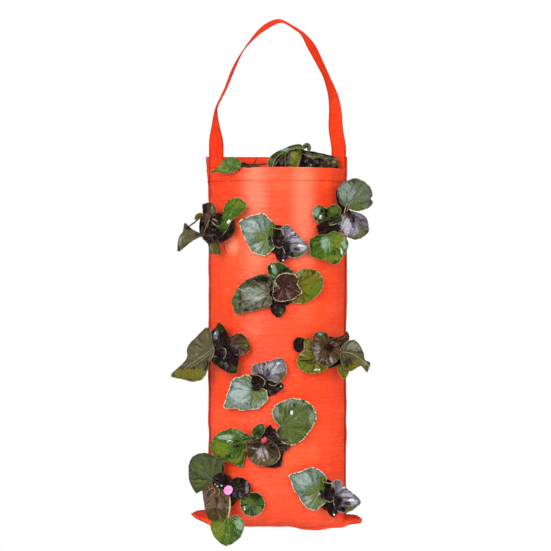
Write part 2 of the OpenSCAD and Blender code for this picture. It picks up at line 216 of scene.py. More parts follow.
def photo_place(px: Array, py: Array, depth: Array) -> tuple[Array, Array]:
    """Place in the bag's frame of a point picked in the camera's view.

    The offset from the middle of the view shrinks with nearness, and the camera's small height
    angle lifts a point by the angle's tangent times its depth.

    Args:
        px: picked place across the view.
        py: picked place down the view.
        depth: distance in front of the seam plane, in mm.

    Returns:
        The place across and up, in mm.
    """
    near = 1.0 - depth / VIEW_DISTANCE
    across = VIEW_X + (px - VIEW_MID) * VIEW_SCALE * near
    up = VIEW_Z - (py - VIEW_MID) * VIEW_SCALE * near + math.tan(VIEW_ANGLE) * depth
    return across, up


def grid_faces(rows: int, cols: int, wrap: bool = False) -> Array:
    """Quads of a grid of points.

    Args:
        rows: number of rows of points.
        cols: number of points in each row.
        wrap: True where each row is a closed ring.

    Returns:
        One row of four point numbers per quad.
    """
    span = cols if wrap else cols - 1
    i, j = np.meshgrid(np.arange(rows - 1), np.arange(span), indexing="ij")
    k = (j + 1) % cols
    quads = np.stack([i * cols + j, i * cols + k, (i + 1) * cols + k, (i + 1) * cols + j], -1)
    return quads.reshape(-1, 4)


def fan_faces(cols: int, hub: int = 0, first: int = 1) -> Array:
    """Triangles from a hub point to each pair of neighbours on the ring that starts at first."""
    k = np.arange(cols)
    return np.stack([np.full(cols, hub), first + k, first + (k + 1) % cols], -1)


class Mask(Enum):
    """Values painted on points, read by the finishes; some are painted light and shade."""

    RIM = "rim"
    # Silver of the leaves with painted reflection on it, and painted sheens on the cloth
    SILVER_AND_SHEEN = "silver_and_sheen"
    # Painted shade on the leaves, along the cloth's side seams and on the strap
    DARK = "dark"
    # Second colour of the leaves, and painted shade on the cloth's ears, brim and flanges
    SECOND = "second"
    # Painted glints on the leaves
    GLOSS = "gloss"

    @property
    def row(self) -> int:
        """Its place among the painted values."""
        return list(Mask).index(self)


@dataclass
class MeshParts:
    """Points and faces gathered piece by piece, which become one mesh object."""

    points: list[Array] = field(default_factory=list)
    faces: list[list[int]] = field(default_factory=list)
    slots: list[int] = field(default_factory=list)
    places: list[Array] = field(default_factory=list)
    masks: list[Array] = field(default_factory=list)
    count: int = 0

    def add(
        self,
        points: Array,
        faces: Sequence[Array],
        slot: int | Sequence[int] = 0,
        place: Array | None = None,
        masks: Array | None = None,
    ) -> None:
        """Adds one piece.

        Args:
            points: places in mm, one per row.
            faces: arrays of point numbers, one face per row.
            slot: number of its material slot, or one number for each array of faces.
            place: two numbers per point for the UV map, in metres or cm.
            masks: painted values per point, one for each Mask in its order.
        """
        points = np.asarray(points, float).reshape(-1, 3)
        n = len(points)
        self.points.append(points)
        for group, number in zip(faces, [slot] * len(faces) if isinstance(slot, int) else slot):
            self.faces.extend((np.asarray(group) + self.count).tolist())
            self.slots.extend([number] * len(group))
        self.places.append(np.zeros((n, 2)) if place is None else np.asarray(place).reshape(-1, 2))
        self.masks.append(np.zeros((n, len(Mask))) if masks is None else np.asarray(masks).reshape(n, -1))
        self.count += n

    def make(self, name: str, materials: Sequence[bpy.types.Material]) -> bpy.types.Object:
        """Makes the mesh object, smooth shaded, in metres and at the origin.

        Args:
            name: the object's name.
            materials: one per slot.

        Returns:
            The object, linked to the scene.
        """
        mesh = bpy.data.meshes.new(name)
        mesh.from_pydata((np.vstack(self.points) * MM).tolist(), [], self.faces)
        for material in materials:
            mesh.materials.append(material)
        mesh.polygons.foreach_set("material_index", np.array(self.slots, np.int32))
        mesh.polygons.foreach_set("use_smooth", np.ones(len(self.faces), bool))
        loops = np.zeros(len(mesh.loops), np.int32)
        mesh.loops.foreach_get("vertex_index", loops)
        uv = mesh.uv_layers.new(name="UVMap")
        uv.data.foreach_set("uv", np.vstack(self.places)[loops].astype(np.float32).ravel())
        painted = np.vstack(self.masks)
        for k, mask in enumerate(Mask):
            if painted[:, k].any():
                layer = mesh.attributes.new(mask.value, "FLOAT", "POINT")
                layer.data.foreach_set("value", painted[:, k].astype(np.float32))
        mesh.update()
        made = bpy.data.objects.new(name, mesh)
        bpy.context.scene.collection.objects.link(made)
        return made


def thick_sheet(mid: Array, wall: float, keep: Array) -> tuple[Array, list[Array], Array]:
    """Closed sheet round a middle surface: two layers half a wall away, joined round every edge.

    Args:
        mid: grid of points, in mm.
        wall: thickness in mm.
        keep: one True or False per quad of the grid; False leaves a hole.

    Returns:
        The points, the faces, and the grid number of each point.
    """
    rows, cols = mid.shape[:2]
    across, down = np.gradient(mid, axis=1), np.gradient(mid, axis=0)
    normal = unit(np.cross(across, down))
    layers = np.concatenate([mid + normal * wall / 2.0, mid - normal * wall / 2.0]).reshape(-1, 3)
    quads = grid_faces(rows, cols)[keep.ravel()]
    half = rows * cols
    start, end = quads.ravel(), np.roll(quads, -1, axis=1).ravel()
    key = np.minimum(start, end) * half + np.maximum(start, end)
    _, first, uses = np.unique(key, return_index=True, return_counts=True)
    rim = first[uses == 1]
    wall_quads = np.stack([end[rim], start[rim], start[rim] + half, end[rim] + half], -1)
    faces = np.concatenate([quads, quads[:, ::-1] + half, wall_quads])
    used, faces = np.unique(faces, return_inverse=True)
    return layers[used], [faces.reshape(-1, 4)], used % half


def tube(path: Array, radius: Array, around: int = 8) -> tuple[Array, list[Array]]:
    """Round closed tube: at each point of the path a ring of its radius, square to the path.

    Args:
        path: points in mm.
        radius: one radius per point, in mm.
        around: points in each ring.

    Returns:
        The points and the faces.
    """
    along = unit(np.gradient(path, axis=0))
    side = unit(np.cross(along, OBLIQUE))
    lift = np.cross(along, side)
    angle = 2.0 * np.pi * np.arange(around) / around
    ring = np.cos(angle)[None, :, None] * side[:, None] + np.sin(angle)[None, :, None] * lift[:, None]
    points = path[:, None] + ring * np.asarray(radius).reshape(-1, 1, 1)
    n = len(path)
    first, last = np.arange(around)[None, :], (n - 1) * around + np.arange(around)[None, ::-1]
    return points.reshape(-1, 3), [grid_faces(n, around, True)[:, ::-1], first, last]


def ball(
    middle: Array, radii: Array, rows: int = 10, cols: int = 14, lumps: float = 0.0, seed: int = 0
) -> tuple[Array, list[Array]]:
    """Closed lumpy ball: a sphere's points times the radii, each moved out by a soft field.

    Args:
        middle: its middle in mm.
        radii: three radii in mm.
        rows: rings from pole to pole.
        cols: points in each ring.
        lumps: depth of the lumps as a share of the radius.
        seed: picks the lumps.

    Returns:
        The points and the faces.
    """
    polar = np.pi * np.arange(1, rows)[:, None] / rows
    turn = 2.0 * np.pi * np.arange(cols) / cols
    sheet = [np.sin(polar) * np.cos(turn), np.sin(polar) * np.sin(turn), np.cos(polar) * np.ones(cols)]
    points = np.vstack([[[0, 0, 1.0]], np.stack(sheet, -1).reshape(-1, 3), [[0, 0, -1.0]]])
    x, y, z = points.T
    swell = 1.0 + lumps * soft_field(x * 2.3 + 7.0, z * 2.1 + y * 1.7 + 9.0, seed)
    last = len(points) - 1
    sides = grid_faces(rows - 1, cols, True)[:, ::-1] + 1
    faces = [fan_faces(cols), sides, fan_faces(cols, last, last - cols)[:, ::-1]]
    return middle + points * radii * swell[:, None], faces


def stitches(
    parts: MeshParts, place: Array, along: Array, normal: Array, length: float, thick: float
) -> None:
    """Adds a row of thread stitches, each a short rod that rises in the middle and dips at its ends.

    Args:
        parts: the mesh being gathered.
        place: middle of each stitch on the cloth, in mm.
        along: unit direction of each stitch.
        normal: unit direction out of the cloth.
        length: length of a stitch in mm.
        thick: diameter of the thread in mm.
    """
    rings, around = 6, 5
    a = np.linspace(-1.0, 1.0, rings)[None, :, None, None]
    turn = (2.0 * np.pi * np.arange(around) / around)[None, None, :, None]
    side = np.cross(along, normal)
    along, normal, side, place = (v[:, None, None, :] for v in (along, normal, side, place))
    girth = thick / 2.0 * np.sqrt(1.0 - 0.8 * a**4)
    rod = place + along * a * length / 2.0 + normal * thick * (0.45 - 0.8 * a**4)
    points = rod + (np.cos(turn) * side + np.sin(turn) * normal) * girth
    n = len(place)
    one = grid_faces(rings, around, True)
    step = (np.arange(n) * rings * around)[:, None, None]
    ends = np.stack([np.arange(around)[::-1], (rings - 1) * around + np.arange(around)])
    parts.add(points, [(one[None] + step).reshape(-1, 4), (ends[None] + step).reshape(-1, around)])


def linear(colour: Colour) -> tuple[float, float, float, float]:
    """A display colour from 0 to 255 as the linear values that Blender's sockets take.

    Args:
        colour: red, green and blue, from 0 to 255.

    Returns:
        Red, green, blue, and one for alpha.
    """
    c = np.array(colour) / 255.0
    c = np.where(c <= 0.04045, c / 12.92, ((c + 0.055) / 1.055) ** 2.4)
    return (float(c[0]), float(c[1]), float(c[2]), 1.0)


@dataclass
class Graph:
    """Short calls for building one node tree."""

    tree: bpy.types.NodeTree

    def feed(self, socket: Socket, value: object) -> None:
        """Links a socket or sets a plain value on an input.

        Args:
            socket: the input.
            value: a socket, a plain value, or None to leave it be.
        """
        if isinstance(value, bpy.types.NodeSocket):
            self.tree.links.new(value, socket)
        elif value is not None:
            socket.default_value = value

    def node(self, kind: str, inputs: Inputs | None = None, **settings: object) -> bpy.types.Node:
        """Makes a node.

        Args:
            kind: its Blender type name.
            inputs: values or sockets by input name or number.
            settings: its own properties.

        Returns:
            The node.
        """
        made = self.tree.nodes.new(kind)
        for key, value in settings.items():
            setattr(made, key, value)
        for key, value in (inputs or {}).items():
            self.feed(made.inputs[key], value)
        return made

    def math(self, step: str, a: object, b: object = None) -> Socket:
        """One step of arithmetic on sockets or numbers.

        Args:
            step: name of the operation.
            a: first value or socket.
            b: second one, where the operation takes two.

        Returns:
            The result.
        """
        made = self.node("ShaderNodeMath", operation=step)
        for k, value in enumerate((a, b)):
            self.feed(made.inputs[k], value)
        return made.outputs[0]

    def plus(self, a: object, b: object) -> Socket:
        """Sum of two values."""
        return self.math("ADD", a, b)

    def minus(self, a: object, b: object) -> Socket:
        """Difference of two values."""
        return self.math("SUBTRACT", a, b)

    def times(self, a: object, b: object) -> Socket:
        """Product of two values."""
        return self.math("MULTIPLY", a, b)

    def off_half(self, value: object) -> Socket:
        """Distance of a value from one half."""
        return self.math("ABSOLUTE", self.minus(value, 0.5))

    def give(self, out: bpy.types.Node, **values: object) -> bpy.types.NodeTree:
        """Feeds a group's outputs by name, and hands back its tree.

        Args:
            out: the group's output node.
            values: values or sockets by output name.

        Returns:
            The group's tree.
        """
        for label, value in values.items():
            self.feed(out.inputs[label], value)
        return self.tree

    def mix(self, share: object, a: object, b: object) -> Socket:
        """Mixes two colours.

        Args:
            share: share of the second colour.
            a: first colour.
            b: second colour.

        Returns:
            The mixed colour.
        """
        made = self.node("ShaderNodeMix", data_type="RGBA", clamp_factor=True)
        for k, value in ((0, share), (6, a), (7, b)):
            self.feed(made.inputs[k], value)
        return made.outputs[2]

    def cover(self, colour: object, layers: Sequence[tuple[Socket, Colour]]) -> Socket:
        """Lays display colours over a colour, one on the other, each by its share.

        Args:
            colour: the lowest colour.
            layers: share and display colour of each layer, the lowest first.

        Returns:
            The covered colour.
        """
        for share, over in layers:
            colour = self.mix(share, colour, linear(over))
        return colour

    def step(self, value: object, low: float, high: float) -> Socket:
        """Smooth step of a value from low to high, as 0 to 1.

        Args:
            value: the value to step.
            low: value where the step starts.
            high: value where it ends.

        Returns:
            The stepped value.
        """
        made = self.node(
            "ShaderNodeMapRange",
            {0: value, 1: low, 2: high, 3: 0.0, 4: 1.0},
            interpolation_type="SMOOTHSTEP",
            clamp=True,
        )
        return made.outputs[0]

    def noise(self, place: object, scale: float, detail: float = 3.0, rough: float = 0.55) -> Socket:
        """A noise texture's value at a place.

        Args:
            place: where it is read.
            scale: cells per unit.
            detail: number of finer layers.
            rough: strength of the finer layers.

        Returns:
            The noise's value.
        """
        made = self.node(
            "ShaderNodeTexNoise", {"Vector": place, "Scale": scale, "Detail": detail, "Roughness": rough}
        )
        return made.outputs[0]

    def stretch(self, place: object, scale: Triple) -> Socket:
        """A place with each of its axes scaled."""
        made = self.node("ShaderNodeVectorMath", {0: place, 1: scale}, operation="MULTIPLY")
        return made.outputs[0]

    def painted(self, mask: Mask) -> Socket:
        """A painted value of the piece."""
        return self.node("ShaderNodeAttribute", attribute_name=mask.value).outputs["Fac"]

    def group(self, tree: bpy.types.NodeTree, inputs: Inputs) -> bpy.types.Node:
        """Places a shared group."""
        return self.node("ShaderNodeGroup", inputs, node_tree=tree)


def new_group(
    name: str, inputs: Sequence[tuple[str, str]], outputs: Sequence[str]
) -> tuple[Graph, bpy.types.Node, bpy.types.Node]:
    """Starts a shared node group.

    Args:
        name: the group's name.
        inputs: name and kind of each input, the kind being Vector or Float.
        outputs: name of each output, all of them single values.

    Returns:
        The graph, its input node and its output node.
    """
    tree = bpy.data.node_groups.new(name, "ShaderNodeTree")
    for label, kind in inputs:
        tree.interface.new_socket(name=label, in_out="INPUT", socket_type=f"NodeSocket{kind}")
    for label in outputs:
        tree.interface.new_socket(name=label, in_out="OUTPUT", socket_type="NodeSocketFloat")
    graph = Graph(tree)
    return graph, tree.nodes.new("NodeGroupInput"), tree.nodes.new("NodeGroupOutput")


class Effects:
    """Shared effects, each built once as a node group: tape weave, crumple, leaf skin and grain."""

    def __init__(self) -> None:
        """Builds the groups."""
        self.weave = self.make_weave()
        self.crumple = self.make_crumple()
        self.leaf_skin = self.make_leaf_skin()
        self.grain = self.make_grain()

    def make_weave(self) -> bpy.types.NodeTree:
        """Plain weave of flat tapes: each cell shows the tape that lies on top, crowned along its run.

        Returns:
            The group's tree.
        """
        g, given, out = new_group(
            "tape_weave", [("Place", "Vector"), ("Pitch", "Float")], ["Height", "Tone"]
        )
        cells = g.node("ShaderNodeVectorMath", {0: given.outputs["Place"]}, operation="SCALE")
        g.feed(cells.inputs["Scale"], g.math("DIVIDE", 1.0, given.outputs["Pitch"]))
        axes = g.node("ShaderNodeSeparateXYZ", {0: cells.outputs[0]})
        u, v = axes.outputs[0], axes.outputs[1]
        odd = g.math("MODULO", g.plus(g.math("FLOOR", u), g.math("FLOOR", v)), 2.0)
        rise = []
        for side, run in ((u, v), (v, u)):
            off = g.off_half(g.math("FRACT", side))
            flat = g.minus(1.0, g.step(off, 0.36, 0.5))
            arch = g.math("SINE", g.times(g.math("FRACT", run), math.pi))
            rise.append(g.times(flat, g.math("POWER", arch, 0.6)))
        even = g.minus(1.0, odd)
        height = g.plus(g.times(odd, rise[0]), g.times(even, rise[1]))
        tapes = [
            g.node("ShaderNodeTexWhiteNoise", {"W": g.math("FLOOR", axis)}, noise_dimensions="1D").outputs[0]
            for axis in (u, v)
        ]
        tone = g.plus(g.times(tapes[0], 0.4), g.times(tapes[1], 0.6))
        return g.give(out, Height=height, Tone=tone)

    def make_crumple(self) -> bpy.types.NodeTree:
        """Crinkles of handled cloth: noise drawn out along the weft, over broader dents, and masks for
        the painted shade in its sharp creases and for its painted glints.

        Returns:
            The group's tree.
        """
        g, given, out = new_group("crumple", [("Place", "Vector")], ["Height", "Tone", "Crease", "Shine"])
        place = given.outputs["Place"]
        fine = g.noise(g.stretch(place, (46.0, 260.0, 1.0)), 1.0, 4.0, 0.6)
        folds = g.noise(g.stretch(place, (30.0, 120.0, 1.0)), 1.0, 3.0, 0.55)
        dents = g.noise(g.stretch(place, (95.0, 95.0, 1.0)), 1.0, 2.0, 0.5)
        height = g.minus(g.times(fine, 0.42), g.times(g.off_half(folds), 1.3))
        height = g.plus(height, g.times(dents, 0.3))
        # Sharp crease lines, in patches, for the painted shade in the creases
        sharp = g.noise(g.stretch(place, (60.0, 420.0, 1.0)), 1.0, 3.0, 0.6)
        crack = g.minus(1.0, g.step(g.off_half(sharp), 0.0, 0.045))
        painted_light_weight = g.step(g.noise(g.stretch(place, (16.0, 22.0, 1.0)), 1.0, 2.0), 0.45, 0.7)
        # Streaks for the painted glints on the crinkles
        lit = g.step(g.noise(g.stretch(place, (52.0, 380.0, 1.0)), 1.0, 4.0, 0.65), 0.56, 0.7)
        shine = g.times(lit, g.step(g.noise(place, 14.0, 2.0), 0.38, 0.62))
        tone = g.noise(g.stretch(place, (7.0, 11.0, 1.0)), 1.0, 4.0, 0.6)
        return g.give(out, Height=height, Tone=tone, Crease=g.times(crack, painted_light_weight), Shine=shine)

    def make_leaf_skin(self) -> bpy.types.NodeTree:
        """Leaf skin: veins and streaks fan out from the stalk, with faint side veins and a broken rim line.

        A vein's mask is the distance across it, the radius times the sine of its angle to the
        nearest main vein. Streaks are noise read round a circle, so they run outwards.

        Returns:
            The group's tree.
        """
        g, given, out = new_group(
            "leaf_skin",
            [("Place", "Vector"), ("Rim", "Float")],
            ["Vein", "Streak", "Fine", "Mottle", "Edge", "Height"],
        )
        place, rim = given.outputs["Place"], given.outputs["Rim"]
        axes = g.node("ShaderNodeSeparateXYZ", {0: place})
        u, v = axes.outputs[0], axes.outputs[1]
        wander = g.minus(g.noise(place, 1.1, 3.0), 0.5)
        angle = g.plus(g.math("ARCTAN2", v, u), g.times(wander, 0.5))
        radius = g.math("POWER", g.plus(g.times(u, u), g.times(v, v)), 0.5)
        swing = g.math("ABSOLUTE", g.math("SINE", g.times(angle, 4.0)))
        across = g.times(swing, radius)
        main = g.minus(1.0, g.step(across, 0.04, 0.4))
        bands = g.plus(g.times(radius, 1.9), g.times(swing, -1.3))
        bands = g.plus(bands, g.times(wander, 1.6))
        off = g.off_half(g.math("FRACT", bands))
        side = g.minus(1.0, g.step(off, 0.02, 0.2))
        vein = g.math("MAXIMUM", main, g.times(side, 0.35))
        vein = g.times(vein, g.step(radius, 0.05, 0.4))
        ring = g.node("ShaderNodeCombineXYZ", {
            0: g.times(g.math("COSINE", angle), 6.5),
            1: g.times(g.math("SINE", angle), 6.5),
            2: g.times(radius, 0.3),
        })
        streak = g.noise(ring.outputs[0], 1.0, 3.0, 0.6)
        fine = g.noise(g.stretch(ring.outputs[0], (2.6, 2.6, 2.2)), 1.0, 3.0, 0.6)
        mottle = g.noise(place, 2.3, 5.0, 0.65)
        patchy = g.noise(place, 3.1, 3.0)
        ragged = g.times(g.minus(patchy, 0.5), 0.16)
        edge = g.step(g.plus(rim, ragged), 0.95, 0.985)
        broken = g.step(g.noise(place, 1.7, 2.0), 0.36, 0.5)
        edge = g.times(edge, broken)
        cells = g.node("ShaderNodeTexVoronoi", {"Vector": place, "Scale": 7.0}).outputs[0]
        height = g.times(cells, 0.35)
        height = g.minus(height, g.times(vein, 0.9))
        height = g.plus(height, g.times(mottle, 0.7))
        height = g.plus(height, g.times(streak, 0.9))
        return g.give(out, Vein=vein, Streak=streak, Fine=fine, Mottle=mottle, Edge=edge, Height=height)

    def make_grain(self) -> bpy.types.NodeTree:
        """Loose grain: crumbs from cell distances, over soft lumps.

        Returns:
            The group's tree.
        """
        g, given, out = new_group("grain", [("Place", "Vector"), ("Scale", "Float")], ["Tone", "Height"])
        sized = g.node("ShaderNodeVectorMath", {0: given.outputs["Place"]}, operation="SCALE")
        g.feed(sized.inputs["Scale"], given.outputs["Scale"])
        cells = g.node("ShaderNodeTexVoronoi", {"Vector": sized.outputs[0], "Scale": 1.0}).outputs[0]
        soft = g.noise(sized.outputs[0], 0.6, 5.0, 0.7)
        return g.give(out, Tone=soft, Height=g.plus(g.times(cells, 0.6), soft))


def new_material(name: str) -> tuple[bpy.types.Material, Graph, bpy.types.Node]:
    """Starts a material that holds one Principled shader.

    Args:
        name: the material's name.

    Returns:
        The material, its graph and its shader.
    """
    material = bpy.data.materials.new(name)
    material.use_nodes = True
    graph = Graph(material.node_tree)
    return material, graph, material.node_tree.nodes["Principled BSDF"]


def bumped(g: Graph, shader: bpy.types.Node, layers: Sequence[tuple[Socket, float]], strength: float) -> None:
    """Puts bumps on a shader, one on the other; each layer is a height and its depth in mm.

    Args:
        g: the material's graph.
        shader: its shader.
        layers: height and depth in mm of each layer, the lowest first.
        strength: strength of every layer.
    """
    normal = None
    for height, depth in layers:
        bump = g.node("ShaderNodeBump", {"Strength": strength, "Distance": depth * MM, "Height": height})
        if normal is not None:
            g.feed(bump.inputs["Normal"], normal)
        normal = bump.outputs[0]
    g.feed(shader.inputs["Normal"], normal)


@dataclass(frozen=True)
class WovenFinish:
    """Woven tape sheet: laid tapes, crinkles, a soft polish, painted shade and painted highlights.
    Colours are display colours.

    Fields:
        name: the material's name.
        colour: of the tapes.
        pale: of the paler patches.
        deep: of some tapes, and of the painted shade in the gaps, creases and seams.
        pitch: width of a tape in mm.
        rough: mean roughness.
        crinkle: depth of the crinkles in mm.
        painted_light_weight: strength of the small painted glints.
        gloss: strength of the reflection.
        glint: colour of the small painted glints.
        sheen: colour of the broad painted sheens.
        shade: colour of the parts that are painted as shaded.
    """

    name: str
    colour: Colour
    pale: Colour
    deep: Colour
    pitch: float = 2.4
    rough: float = 0.42
    crinkle: float = 2.3
    painted_light_weight: float = 0.3
    gloss: float = 0.35
    glint: Colour = (255, 158, 124)
    sheen: Colour = (255, 150, 118)
    shade: Colour = (140, 14, 10)

    def build(self, effects: Effects) -> bpy.types.Material:
        """Makes the material from the piece's own UV map, in metres.

        Args:
            effects: the shared node groups.

        Returns:
            The material.
        """
        material, g, shader = new_material(self.name)
        place = g.node("ShaderNodeUVMap", uv_map="UVMap").outputs[0]
        weave = g.group(effects.weave, {"Place": place, "Pitch": self.pitch * MM})
        crumple = g.group(effects.crumple, {"Place": place})
        # Painted sheens from the silver layer, broken up by the streaks of painted glints
        shine, silver_and_sheen = crumple.outputs["Shine"], g.painted(Mask.SILVER_AND_SHEEN)
        sheen = g.times(g.step(g.plus(silver_and_sheen, g.times(shine, 0.5)), 0.1, 1.2), silver_and_sheen)
        # Random tape tones, then painted shade, painted glints and painted sheens
        colour = g.cover(linear(self.colour), [
            (g.step(crumple.outputs["Tone"], 0.42, 0.72), self.pale),
            (g.times(weave.outputs["Tone"], 0.35), self.deep),
            (g.times(g.minus(1.0, weave.outputs["Height"]), 0.3), self.deep),
            (g.times(g.step(crumple.outputs["Crease"], 0.3, 1.0), 0.6), self.deep),
            (g.times(shine, self.painted_light_weight), self.glint),
            (g.painted(Mask.DARK), self.deep),
            (g.times(sheen, 0.8), self.sheen),
            (g.times(g.painted(Mask.SECOND), 0.85), self.shade),
        ])
        g.feed(shader.inputs["Base Color"], colour)
        rough = g.plus(g.times(crumple.outputs["Tone"], 0.2), self.rough - 0.1)
        g.feed(shader.inputs["Roughness"], rough)
        shader.inputs["Specular IOR Level"].default_value = self.gloss
        bumped(g, shader, [(crumple.outputs["Height"], self.crinkle), (weave.outputs["Height"], 0.16)], 0.8)
        return material


@dataclass(frozen=True)
class LeafFinish:
    """Glossy leaf skin with veins, painted patches and a pale crinkled rim; among the patches are
    painted shade, painted reflection on the silver, and painted glints.

    Fields:
        name: the material's name.
        base: main colour.
        second: colour of the Mask.SECOND patches.
        silver_and_sheen: colour of the Mask.SILVER_AND_SHEEN patches, silver with painted reflection on
            it, and of faint streaks.
        rim: colour of the rim line.
        vein: colour of the veins.
        veined: strength of the veins.
        edged: strength of the rim line.
        rough: mean roughness.
        dark: colour of the Mask.DARK patches, which are painted shade.
        glint: colour of the Mask.GLOSS patches, which are painted glints.
    """

    name: str
    base: Colour
    second: Colour
    silver_and_sheen: Colour
    rim: Colour
    vein: Colour
    veined: float = 0.6
    edged: float = 0.8
    rough: float = 0.34
    dark: Colour = (14, 6, 7)
    glint: Colour = (212, 222, 214)

    def patch(self, g: Graph, mask: Mask, rays: Socket, low: float, high: float) -> Socket:
        """Share of a painted patch, torn into streaks along the rays.

        Args:
            g: the material's graph.
            mask: the painted value.
            rays: streaks that run out from the stalk.
            low: value where the torn patch starts.
            high: value where it is full.

        Returns:
            The patch's share.
        """
        value = g.painted(mask)
        torn = g.step(g.plus(value, rays), low, high)
        return g.times(torn, g.step(value, 0.0, 0.2))

    def build(self, effects: Effects) -> bpy.types.Material:
        """Makes the material from the leaf's UV map and its painted values.

        Args:
            effects: the shared node groups.

        Returns:
            The material.
        """
        material, g, shader = new_material(self.name)
        place = g.node("ShaderNodeUVMap", uv_map="UVMap").outputs[0]
        skin = g.group(effects.leaf_skin, {"Place": place, "Rim": g.painted(Mask.RIM)})
        mottle, streak, fine = (skin.outputs[k] for k in ("Mottle", "Streak", "Fine"))
        shade = tuple(int(c * 0.42) for c in self.base)
        bright = tuple(min(int(c * 1.22), 250) for c in self.base)
        tone = g.plus(g.times(fine, 0.4), g.times(streak, 0.6))
        rays = g.minus(g.plus(g.times(fine, 1.8), g.times(streak, 1.8)), 1.8)
        band = g.times(g.step(g.painted(Mask.RIM), 0.84, 0.93), g.step(mottle, 0.4, 0.6))
        # Streaked tones, the second colour, silver with painted reflection, pale flecks, veins, painted
        # shade, painted glints, a dark band inside the rim, and the rim line
        colour = g.cover(linear(shade), [
            (g.step(tone, 0.36, 0.52), self.base),
            (g.step(tone, 0.52, 0.68), bright),
            (g.times(self.patch(g, Mask.SECOND, rays, 0.25, 0.75), 0.95), self.second),
            (g.times(self.patch(g, Mask.SILVER_AND_SHEEN, rays, 0.3, 0.9), 0.9), self.silver_and_sheen),
            (g.times(g.step(fine, 0.56, 0.7), 0.3), self.silver_and_sheen),
            (g.times(g.step(g.times(mottle, -1.0), -0.46, -0.34), 0.4), shade),
            (g.times(skin.outputs["Vein"], self.veined), self.vein),
            (self.patch(g, Mask.DARK, rays, 0.25, 0.8), self.dark),
            (self.patch(g, Mask.GLOSS, rays, 0.45, 0.8), self.glint),
            (g.times(band, 0.5), shade),
            (g.times(skin.outputs["Edge"], self.edged), self.rim),
        ])
        g.feed(shader.inputs["Base Color"], colour)
        g.feed(shader.inputs["Roughness"], g.plus(g.times(mottle, 0.25), self.rough - 0.1))
        shader.inputs["Specular IOR Level"].default_value = 0.2
        shader.inputs["Coat Weight"].default_value = 0.2
        shader.inputs["Coat Roughness"].default_value = 0.12
        bumped(g, shader, [(skin.outputs["Height"], 0.8)], 1.0)
        return material


@dataclass(frozen=True)
class MottledFinish:
    """Mottled natural skin, soil, root or thread: two colours by a grain, with bumps of that grain.

    Fields:
        name: the material's name.
        colour: one colour of the grain.
        other: the other colour.
        scale: grains per metre.
        depth: depth of the bumps in mm.
        rough: mean roughness.
        gloss: strength of the reflection.
    """

    name: str
    colour: Colour
    other: Colour
    scale: float
    depth: float
    rough: float = 0.6
    gloss: float = 0.4

    def build(self, effects: Effects) -> bpy.types.Material:
        """Makes the material on object coordinates.

        Args:
            effects: the shared node groups.

        Returns:
            The material.
        """
        material, g, shader = new_material(self.name)
        place = g.node("ShaderNodeTexCoord").outputs["Object"]
        grain = g.group(effects.grain, {"Place": place, "Scale": self.scale})
        tone = g.step(grain.outputs["Tone"], 0.35, 0.66)
        g.feed(shader.inputs["Base Color"], g.mix(tone, linear(self.colour), linear(self.other)))
        rough = g.plus(g.times(grain.outputs["Tone"], 0.2), self.rough - 0.1)
        g.feed(shader.inputs["Roughness"], rough)
        shader.inputs["Specular IOR Level"].default_value = self.gloss
        bumped(g, shader, [(grain.outputs["Height"], self.depth)], 0.8)
        return material


class Tone(Enum):
    """Leaf colours: base, second, silver, rim and vein, then how veined and how edged."""

    GREEN = LeafFinish("leaf_green", (58, 88, 10), (96, 110, 10), (132, 158, 134), (158, 172, 108),
        (122, 146, 58), 0.6, 0.5)
    FOREST = LeafFinish("leaf_forest", (48, 68, 14), (84, 100, 20), (128, 148, 132), (182, 184, 132),
        (92, 112, 52), 0.55, 0.7)
    OLIVE = LeafFinish("leaf_olive", (104, 98, 14), (76, 102, 12), (132, 146, 112), (180, 180, 122),
        (132, 120, 36), 0.5, 0.6)
    KHAKI = LeafFinish("leaf_khaki", (86, 78, 52), (102, 96, 12), (132, 132, 114), (150, 142, 104),
        (128, 120, 92), 0.55, 0.5)
    GREY = LeafFinish("leaf_grey", (90, 98, 74), (82, 98, 18), (126, 142, 130), (96, 92, 60),
        (134, 140, 116), 0.55, 0.35)
    MOSS = LeafFinish("leaf_moss", (70, 66, 44), (56, 84, 24), (134, 148, 136), (140, 146, 96),
        (136, 118, 84), 0.7, 0.4)
    SAGE = LeafFinish("leaf_sage", (76, 88, 38), (74, 88, 16), (118, 130, 116), (206, 204, 168),
        (122, 134, 80), 0.6, 0.8)
    SLATE = LeafFinish("leaf_slate", (66, 76, 42), (80, 92, 22), (112, 124, 106), (96, 92, 60),
        (112, 122, 78), 0.5, 0.35)
    # Silvery leaves, with painted reflection in their silver
    SILVER_AND_SHEEN = LeafFinish("leaf_silver_and_sheen", (100, 118, 100), (82, 98, 14), (152, 166, 164), (214, 210, 176),
        (160, 170, 152), 0.5, 0.95)
    LILAC = LeafFinish("leaf_lilac", (112, 104, 112), (82, 86, 18), (172, 170, 180), (188, 182, 150),
        (44, 30, 40), 0.7, 0.7)
    UMBER = LeafFinish("leaf_umber", (54, 40, 14), (78, 70, 26), (170, 164, 168), (150, 110, 90),
        (104, 70, 40), 0.6, 0.6)
    COPPER = LeafFinish("leaf_copper", (98, 74, 52), (64, 54, 6), (104, 94, 90), (120, 92, 56),
        (44, 24, 14), 0.8, 0.4)
    BRONZE = LeafFinish("leaf_bronze", (68, 44, 28), (66, 72, 16), (150, 150, 148), (172, 154, 116),
        (132, 92, 50), 0.6, 0.4)
    BURGUNDY = LeafFinish("leaf_burgundy", (70, 36, 25), (38, 14, 12), (126, 112, 110), (214, 198, 156),
        (28, 8, 10), 0.7, 1.0)
    # Near-black leaves; also the dark sheets low in the crowns, which are painted shade
    DARK = LeafFinish("leaf_dark", (34, 12, 12), (40, 50, 10), (108, 108, 116), (104, 88, 64), (10, 4, 6),
        0.5, 0.45)


